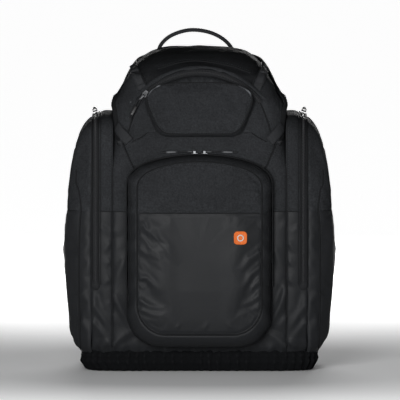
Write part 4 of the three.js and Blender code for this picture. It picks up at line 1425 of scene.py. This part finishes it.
def carry_handle():
    """The haul loop and the sewn patch at each of its ends."""
    points = [(-76, 546), (-77, 572), (-70, 591), (-50, 607), (-18, 616), (16, 612.5), (43, 600), (60, 582),
              (65.5, 562), (65, 546)]
    strap("carry_handle_strap", [(x, 153.8, z) for x, z in points], (0, 1, 0), 20, 5.6, "carry_handle",
          ["carry_handle"], crown=0.25, count=110)
    for side, x in (("left", -77), ("right", 66)):
        patch = [(x, 141.6, 514), (x, 142.2, 526), (x, 142.2, 538), (x, 142.0, 547)]
        strap(f"handle_anchor_{side}", patch, (1, 0, 0), 24, 3.2, "pack", count=20)


def bar_tack(parts, path, across, normals, at, lift):
    """A short dense row of stitches across a strap."""
    bar = np.linspace(path[at] - across[at] * 8, path[at] + across[at] * 8, 14) + normals[at] * lift
    stitches(parts, bar, np.broadcast_to(normals[at], bar.shape), 2.0, lift=0.5, use=1)


def hood_straps(tree):
    """Ladder webbing for a helmet net on each shoulder of the hood, and the zip's end tabs."""
    for side, sign in (("left", -1), ("right", 1)):
        line = [(sign * x, z) for x, z in ((120, 556), (114, 541), (106, 524), (101, 510))]
        path, normals = from_front(tree, line, 60, 1.0)
        path = curve(path[::4], 60)
        normals = unit(resample(normals, 60))
        across = np.cross(unit(np.gradient(path, axis=0)), normals)
        parts = Parts()
        parts.add(*sweep(path, strap_section(17, 1.5, crown=0.1), across), use=0)
        for start in (6, 22, 38):
            part = slice(start, start + 16)
            arch = (5.6 * np.sin(np.linspace(0, math.pi, 16)) + 1.2)[:, None]
            raised = path[part] + normals[part] * arch
            parts.add(*sweep(raised, strap_section(14, 1.4), across[part]), use=0)
            for at in (start, start + 15):
                bar_tack(parts, path, across, normals, at, 1.2)
        made = parts.make(f"helmet_webbing_{side}", WEBBING, THREAD)
        finish_piece(made, "hood", [f"helmet_loop_{side}"])

        line = [(sign * x, z) for x, z in ((128, 424), (136, 433), (145, 444), (152, 453))]
        path, normals = from_front(tree, line, 40, 2.0)
        path, normals = curve(path[::4], 40), unit(resample(normals, 40))
        across = np.cross(unit(np.gradient(path, axis=0)), normals)
        parts = Parts()
        parts.add(*sweep(path, strap_section(19, 2.2, crown=0.2), across), use=0)
        fold = path + normals * (2.6 * np.sin(np.linspace(0, math.pi, 40)) + 1.6)[:, None]
        parts.add(*sweep(fold, strap_section(18, 1.6, crown=0.1), across), use=0)
        for at in (5, 34):
            bar_tack(parts, fold, across, normals, at, 1.0)
        made = parts.make(f"zip_end_tab_{side}", WEBBING, THREAD)
        finish_piece(made, "fold", [f"zip_tab_{side}"])


# ---- Harness --------------------------------------------------------------------------------
STRAP_LINE = [[146.3, 516], [168, 508], [184, 482], [195, 430], [197, 380], [192, 310], [176, 236]]


def strap_x(z):
    return 55 + 67 * np.clip((518 - z) / 282, 0, 1.6) ** 1.2


PAD_FACE_Y = 149
CHANNEL_WIDTH = 4.5
VOXEL = 5.0
PAD_PRESSURE = 3.0


def pad(name, node_name, shrink=1.6, cap=5.0, grooves=None, against=None):
    """A foam pad: its frame solid, a little smaller, remeshed and filled by pressure.

    Grooves gives each point's depth of a sewn line; against is the Y that the pad lies on.
    """
    source = frame["nodes"][node_name]
    mesh = source.data.copy()
    mesh.materials.clear()
    made = bpy.data.objects.new(name, mesh)
    SCENE.collection.objects.link(made)
    modified(made, "WELD", merge_threshold=0.0001)
    modified(made, "REMESH", mode="VOXEL", voxel_size=VOXEL * MM, use_smooth_shade=True)
    modified(made, "SMOOTH", factor=0.5, iterations=4)
    settle_modifiers(made)
    move_points(made, points_of(made) - normals_of(made) * shrink)
    unpinned = np.zeros(len(made.data.vertices), bool)
    simulate(made, unpinned, PAD_PRESSURE, 0.0, cap, frames=16, bend=2.0)
    modified(made, "SUBSURF", levels=1, render_levels=1)
    settle_modifiers(made)
    if grooves:
        points, normals = points_of(made), normals_of(made)
        move_points(made, points + normals * grooves(points)[:, None])
    if against is not None:
        points = points_of(made)
        points[:, 1] -= points[:, 1].min() - against
        move_points(made, points)
    made.data.materials.clear()
    made.data.materials.append(MESH)
    for polygon in made.data.polygons:
        polygon.use_smooth = True
    finish_piece(made, "pack", [node_name])


def sewn_lines(lines, depth):
    """Valleys along lines (x, z), only on the face of a pad that is turned to the wearer."""
    def valleys(p):
        rise = sum(groove(p[:, 0], p[:, 2], line, CHANNEL_WIDTH, depth) for line in lines)
        return rise * (p[:, 1] > PAD_FACE_Y)
    return valleys


def edge_line(sign):
    """The seam that runs a little inside both edges of a shoulder strap."""
    def valleys(p):
        return -1.6 * np.exp(-(((np.abs(p[:, 0] - sign * strap_x(p[:, 2])) - 25) / 2.6) ** 2))
    return valleys


def harness():
    channels = sewn_lines([[(-118, z), (118, z)] for z in (272, 318, 404, 450)], 3.2)
    pad("back_pad_foam", "back_pad", grooves=channels, against=PAD_BACK_Y)
    ribs = sewn_lines([[(-112, 124 + 1.2 * z), (112, 124 + 1.2 * z)] for z in (-26, 26)], 3.0)
    pad("lumbar_pad_foam", "lumbar_pad", grooves=ribs, against=PAD_BACK_Y)
    side_line = curve(STRAP_LINE, 90)
    for side, sign in (("left", -1), ("right", 1)):
        centre = np.stack([sign * strap_x(side_line[:, 1]), side_line[:, 0], side_line[:, 1]], 1)
        pad(f"shoulder_strap_foam_{side}", f"shoulder_strap_{side}", shrink=2.4, cap=3.5,
            grooves=edge_line(sign))
        ahead = unit(np.gradient(centre, axis=0))
        normal = unit(np.cross(np.array([1.0, 0, 0]), ahead))
        normal = normal * np.sign(normal[:, 1:2] + normal[:, 2:] * 0.5 + 1e-6)
        yoke = [
            (sign * 55, 141.0, 540), (sign * 55, 142.5, 530), (sign * 55, 147, 520), (sign * 57, 156, 510),
        ]
        strap(f"shoulder_yoke_{side}", yoke, (1, 0, 0), 44, 3.6, "pack", count=30)
        trim = centre[6:] + normal[6:] * 6.4
        strap(f"shoulder_trim_{side}", trim[::6], (1, 0, 0), 24, 1.6, "pack")
        pad(f"hip_wing_foam_{side}", f"hip_wing_{side}")
        low_line = [
            (sign * 124.5, 169.5, 205), (sign * 128, 166, 200), (sign * 131, 156, 182),
            (sign * 133, 146, 168), (sign * 135, 141.8, 160),
        ]
        strap(f"lower_strap_{side}", low_line, (1, 0, 0), 25, 2, "pack", [f"strap_webbing_{side}"])
        hip = [(231, 175), (235, 185), (226, 193), (198, 196.7), (120, 196.7), (7, 196.7)]
        strap(f"hip_strap_{side}", [(sign * x, y, 111) for x, y in hip], (0, 0, 1), 38, 2, "pack",
              [f"hip_webbing_{side}"], count=90)
        end = -6 if side == "left" else 9
        chest = [(sign * 112, 204.6, 400), (sign * 60, 204.5, 400), (end, 204.4, 400)]
        strap(f"chest_strap_{side}", chest, (0, 0, 1), 20, 1.6, "sternum_strap", [f"sternum_webbing_{side}"])


def dividers():
    """The lining walls between the main compartment and the boot compartments."""
    for side, sign in (("left", -1), ("right", 1)):
        parts = Parts()
        y, z = np.meshgrid(np.linspace(-136, 126, 44), np.linspace(10, 418, 60))
        y = y * (0.9 + 0.1 * smoothstep(z, 40, 110))
        x = 126.5 + 0.8 * np.sin(y / 33 + z / 47) + 0.6 * np.sin(z / 21)
        wall = np.stack([x, y, z], -1)
        y, z = np.meshgrid(np.linspace(-112, 124, 40), np.linspace(419, 462, 9))
        upper = np.stack([126.5 + 0.7 * np.sin(y / 30), y, z], -1)
        x, y = np.meshgrid(np.linspace(128, 192, 14), np.linspace(-88, 92, 32))
        shelf = np.stack([x, y, 463 - 0.0009 * (x - 128) ** 2 + 0.5 * np.sin(y / 19)], -1)
        for points in (wall, upper, shelf):
            parts.add(points * np.array([sign, 1, 1]), grid(*points.shape[:2]))
        ys = np.linspace(-130, 124, 90)
        binding = np.array([(128.3 * sign, y, 416 + 0.5 * math.sin(y / 9)) for y in ys])
        parts.add(*cord_along(binding, 1.4, (1, 0, 0)), use=1)
        made = parts.make(f"divider_lining_{side}", LINING, PIPING)
        modified(made, "SOLIDIFY", thickness=1.2 * MM, offset=0)
        finish_piece(made, "pack", [f"divider_{side}"])


# ---- Seams on the body and the hood ---------------------------------------------------------
def around_side(tree, sign, z):
    """A level line round a side panel, from its front seam to its back seam."""
    turn = np.linspace(-1.05, 1.05, 120)
    places, normals = [], []
    for angle in turn:
        toward = Vector((sign * math.cos(angle), math.sin(angle), 0))
        start = Vector((sign * 150, 0, z)) + toward * 400
        hit, normal = meet(tree, start, -toward)
        if hit is not None and abs(hit.x) > HALF_DOOR:
            places.append(hit)
            normals.append(normal)
    return resample(places, 160), unit(resample(normals, 160))


def edge_of(x):
    """A seam up the front at a constant distance from the middle."""
    return [(x, z) for z in (47, 120, 200, 300, 400, 452)]


def panel_seams(front, fold, hood_skin, gussets, sides):
    """Piping and stitches laid on the finished fabric."""
    front_tree = tree_of(front)
    for side, sign, gusset, door in (("left", -1, gussets[0], sides[0]), ("right", 1, gussets[1], sides[1])):
        body_seams = Seams(f"body_seams_{side}", "webbing", "pack")
        line = [(sign * x, z) for x, z in ((111, 355), (120, 374), (132, 400), (142, 424))]
        path, normals = from_front(front_tree, line, 60, 0.3)
        body_seams.pipe(path, normals, 1.5).sew(path - np.array([-sign * 4, 0, 0]), normals)
        path, normals = from_front(front_tree, edge_of(sign * 159.2), 160, 0.2)
        body_seams.pipe(path, normals, 1.3).sew(path - np.array([sign * 4.5, 0, 0]), normals)
        path, normals = from_front(tree_of(gusset), edge_of(sign * 163.5), 160, 0.4)
        body_seams.sew(path, normals)
        body_seams.make()
        path, normals = from_front(tree_of(door), [(sign * x, z) for x, z in SIDE_FRONT_SEAM], 170, 0.2)
        door_seams = Seams(f"side_seam_{side}", "tarpaulin", f"door_{side}")
        door_seams.pipe(path, normals, 1.4).sew(path + np.array([sign * 3.5, 0.8, 0]), normals)
        door_seams.make()
    split = Seams("split_stitching", "webbing", "pack")
    spans = [(front_tree, -158, -133), (front_tree, 133, 158)]
    spans += [(tree_of(gussets[0]), -183, -161), (tree_of(gussets[1]), 161, 183)]
    for tree, start, end in spans:
        path, normals = from_front(tree, [(start, SPLIT_Z), (end, SPLIT_Z)], 20, 0.0)
        split.pipe(path, normals, 0.9, 0.1)
        path, normals = from_front(tree, [(start, SPLIT_Z + 2.8), (end, SPLIT_Z + 2.8)], 20, 0.3)
        split.sew(path, normals)
    split.make()
    for side, sign, cloth_tree in (("left", -1, tree_of(sides[0])), ("right", 1, tree_of(sides[1]))):
        split = Seams(f"side_split_{side}", "webbing", f"door_{side}")
        path, normals = around_side(cloth_tree, sign, SPLIT_Z)
        split.pipe(path, normals, 0.9, 0.1)
        path, normals = around_side(cloth_tree, sign, SPLIT_Z + 2.8)
        split.sew(path + normals * 0.3, normals)
        split.make()
    hood_tree = tree_of(hood_skin)
    top = Seams("hood_seams", "canvas", "hood")
    for mirror in (1, -1):
        path, normals = from_front(hood_tree, [(mirror * x, z) for x, z in SIDE_SEAM], 110, 0.2)
        top.pipe(path, normals, 1.5).sew(path + np.array([-mirror * 4, 0, 0]), normals)
    path, normals = from_front(hood_tree, TOP_SEAM, 110, 0.3)
    top.pipe(path, normals, 1.3).sew(path + np.array([0, 0, 3.5]), normals)
    for line in ([(-94, 441), (-108, 432), (-124, 424)], [(94, 441), (108, 432), (124, 424)]):
        path, normals = from_front(tree_of(hood_skin, fold), line, 30, 0.4)
        top.pipe(path, normals, 1.2)
    top.make()
    fold_tree = tree_of(fold)
    fold_seams = Seams("fold_seams", "canvas", "fold")
    for sign in (-1, 1):
        line = [(sign * x, z) for x, z in ((105, 358), (115, 378), (127, 402), (136, 420))]
        path, normals = from_front(fold_tree, line, 60, 0.4)
        fold_seams.sew(path, normals)
    fold_seams.make()


def pocket_seams(face, seam):
    """The pocket's piping and stitches, its zip and the seam where it meets the bag."""
    piping = Seams("pocket_piping", "canvas", "flap")
    edge = seam - np.array([0, 1.0, 0])
    piping.parts.add(*cord_along(edge, 1.4, (0, 1, 0), closed=True, sides=10), use=0)
    tree = tree_of(face)
    middle = np.array([0, 0, POCKET_Z])
    inner = middle + (seam - middle) * np.array([0.962, 1, 0.972])
    path, normals = drape(tree, inner, (0, 1, 0), 0.2)
    piping.sew(path, normals)
    for rise in (0, 3):
        line = [(x, SPLIT_Z + rise) for x in np.linspace(-109, 109, 12)]
        path, normals = from_front(tree, line, 90, 0.0)
        if rise:
            piping.sew(path + normals * 0.2, normals)
        else:
            piping.pipe(path, normals, 0.9, 0.1)
    piping.make()
    strip = Seams("pocket_zip_strip", "webbing", "flap")
    high = pocket_ring(-156.5, 1.0, pocket_outline(grow=1.5))
    start = int(np.argmin(high[:, 2]))
    ring = np.roll(high, -start, 0)
    away = unit(np.stack([ring[:, 0], 0 * ring[:, 0], (ring[:, 2] - POCKET_Z) / 1.5], 1))
    above = ring[:, 2] > FLAP_HINGE_Z
    path, away = ring[above], away[above]
    strip.tape(path, away, 10, 0.9, 1.0).zip(path, away, 1.5)
    for y in (-149.5, -163.5):
        edge = path + np.array([0, y + 156.5, 0])
        strip.pipe(edge, away, 1.3, -0.6)
    for y, share in ((-171, 0.9865), (-181.5, 0.957)):
        shown = pocket_ring(y, share, pocket_outline(grow=0.4))
        shown = np.roll(shown, -int(np.argmin(shown[:, 2])), 0)
        shown = shown[shown[:, 2] > FLAP_HINGE_Z]
        outward = unit(np.stack([shown[:, 0], -60 + 0 * shown[:, 0], (shown[:, 2] - POCKET_Z) / 1.5], 1))
        strip.pipe(shown, outward, 0.85, 0.2)
        strip.sew(shown + outward * 0.2 + np.array([0, 2.6, 0]), outward)
    strip.make()
    root = Seams("pocket_base_seam", "tarpaulin", "pack")
    base = pocket_ring(-148.5, 1.0, pocket_outline(grow=2.4))
    root.parts.add(*cord_along(base, 1.7, (0, 1, 0), closed=True), use=0)
    root.make()


# ---- Floor, light and camera: places in metres, powers in watts ------------------------------
AIM = (0.001, -0.05, 0.3112)
ELEVATION = math.radians(3.5)
LENS, SENSOR = 1000, 36
FRAME_WIDTH = 0.7384
FLOOR_GLOW = (0.0, 0.94)
SIDE_GLOW = 0.36
DOME = (0.97, 0.05)
HORIZON = 0.22
LIGHTS = [
    ("key", (-0.8, -3.8, 0.85), (1.5, 1.5), 188),
    ("fill", (1.6, -3.6, 0.7), (1.4, 1.4), 26),
    ("rear", (0.3, 3.6, 0.9), (1.8, 0.5), 52),
]


def studio_floor():
    """A wide round floor of pale paper, which glows where it runs into the background."""
    parts = Parts()
    rings = np.array([0.01, 300, 600, 1000, 1800, 3500, 8000, 20000, 60000, 150000])
    turn = np.linspace(0, 2 * math.pi, 64, endpoint=False)
    points = np.array([[(r * math.cos(a), r * math.sin(a), -0.2) for a in turn] for r in rings])
    parts.add(points, [face[::-1] for face in grid(len(rings), 64, wrap=True)])
    material, tree, shader = blank("floor_paper")
    where = node(tree, "TexCoord").outputs["Object"]
    distance = node(tree, "VectorMath", {0: where}, operation="LENGTH").outputs["Value"]
    aside = maths(tree, "ABSOLUTE", node(tree, "SeparateXYZ", {"Vector": where}).outputs["X"], 0.0)
    aside = maths(tree, "DIVIDE", aside, maths(tree, "MAXIMUM", distance, 0.01))
    brightest = remap(tree, aside, 0.3, 0.75, FLOOR_GLOW[1], SIDE_GLOW)
    glow = remap(tree, distance, 0.45, 1.6, FLOOR_GLOW[0], brightest)
    paint(tree, shader, (0.66, 0.665, 0.67), noise(tree, where, 3.0), 0.015)
    shader.inputs["Roughness"].default_value = 0.8
    shader.inputs["Emission Color"].default_value = (1, 1, 1, 1)
    tree.links.new(glow, shader.inputs["Emission Strength"])
    floor = parts.make("floor", material)


def studio_world():
    """Even light from above and behind the bag, fading towards the horizon in front."""
    world = bpy.data.worlds.new("studio")
    SCENE.world = world
    world.use_nodes = True
    tree = world.node_tree
    tree.nodes.clear()
    direction = node(tree, "TexCoord").outputs["Generated"]
    axes = node(tree, "SeparateXYZ", {"Vector": direction}).outputs
    horizon = remap(tree, axes["Y"], 0.86, 0.99, HORIZON, DOME[0])
    level = remap(tree, axes["Z"], 0.0, 0.12, horizon, DOME[1])
    sky = node(tree, "Background", {"Color": (1, 1, 1, 1), "Strength": level})
    out = node(tree, "OutputWorld")
    tree.links.new(sky.outputs[0], out.inputs[0])


def studio_lights():
    for name, place, size, power in LIGHTS:
        data = bpy.data.lights.new(name, "AREA")
        data.shape = "RECTANGLE"
        data.size, data.size_y = size
        data.energy = power
        light = bpy.data.objects.new(name, data)
        light.location = place
        light.rotation_euler = (Vector((0, 0, 0.3)) - Vector(place)).to_track_quat("-Z", "Y").to_euler()
        SCENE.collection.objects.link(light)


def studio_camera():
    data = bpy.data.cameras.new("camera")
    data.lens, data.sensor_width = LENS, SENSOR
    data.clip_start, data.clip_end = 0.1, 400
    camera = bpy.data.objects.new("camera", data)
    distance = FRAME_WIDTH / SENSOR * LENS
    back = Vector((0, -math.cos(ELEVATION), math.sin(ELEVATION)))
    camera.location = Vector(AIM) + back * distance
    camera.rotation_euler = (-back).to_track_quat("-Z", "Y").to_euler()
    SCENE.collection.objects.link(camera)
    SCENE.camera = camera
    SCENE.view_settings.view_transform = "Standard"


studio_floor()
studio_world()
studio_lights()
studio_camera()
front = front_panel()
fold = below_goggles()
hood_skin = hood_fabric()
collars()
back_panel()
gussets = boot_gussets()
sides = boot_doors()
base_hem()
pocket_face, pocket_seam = front_pocket()
pocket_seams(pocket_face, pocket_seam)
badge(tree_of(pocket_face))
goggle_pocket()
goggle_zip()
boot_zips(gussets)
main_zip()
pullers()
panel_seams(front, fold, hood_skin, gussets, sides)
hood_straps(tree_of(hood_skin, fold, front))
carry_handle()
harness()
dividers()

for name, piece in frame["nodes"].items():
    if piece.hide_render:
        continue
    material = PLASTIC
    if name.endswith("slider"):
        material = METAL if name.startswith(("front", "goggle")) else DARK_METAL
    piece.data.materials.clear()
    piece.data.materials.append(material)
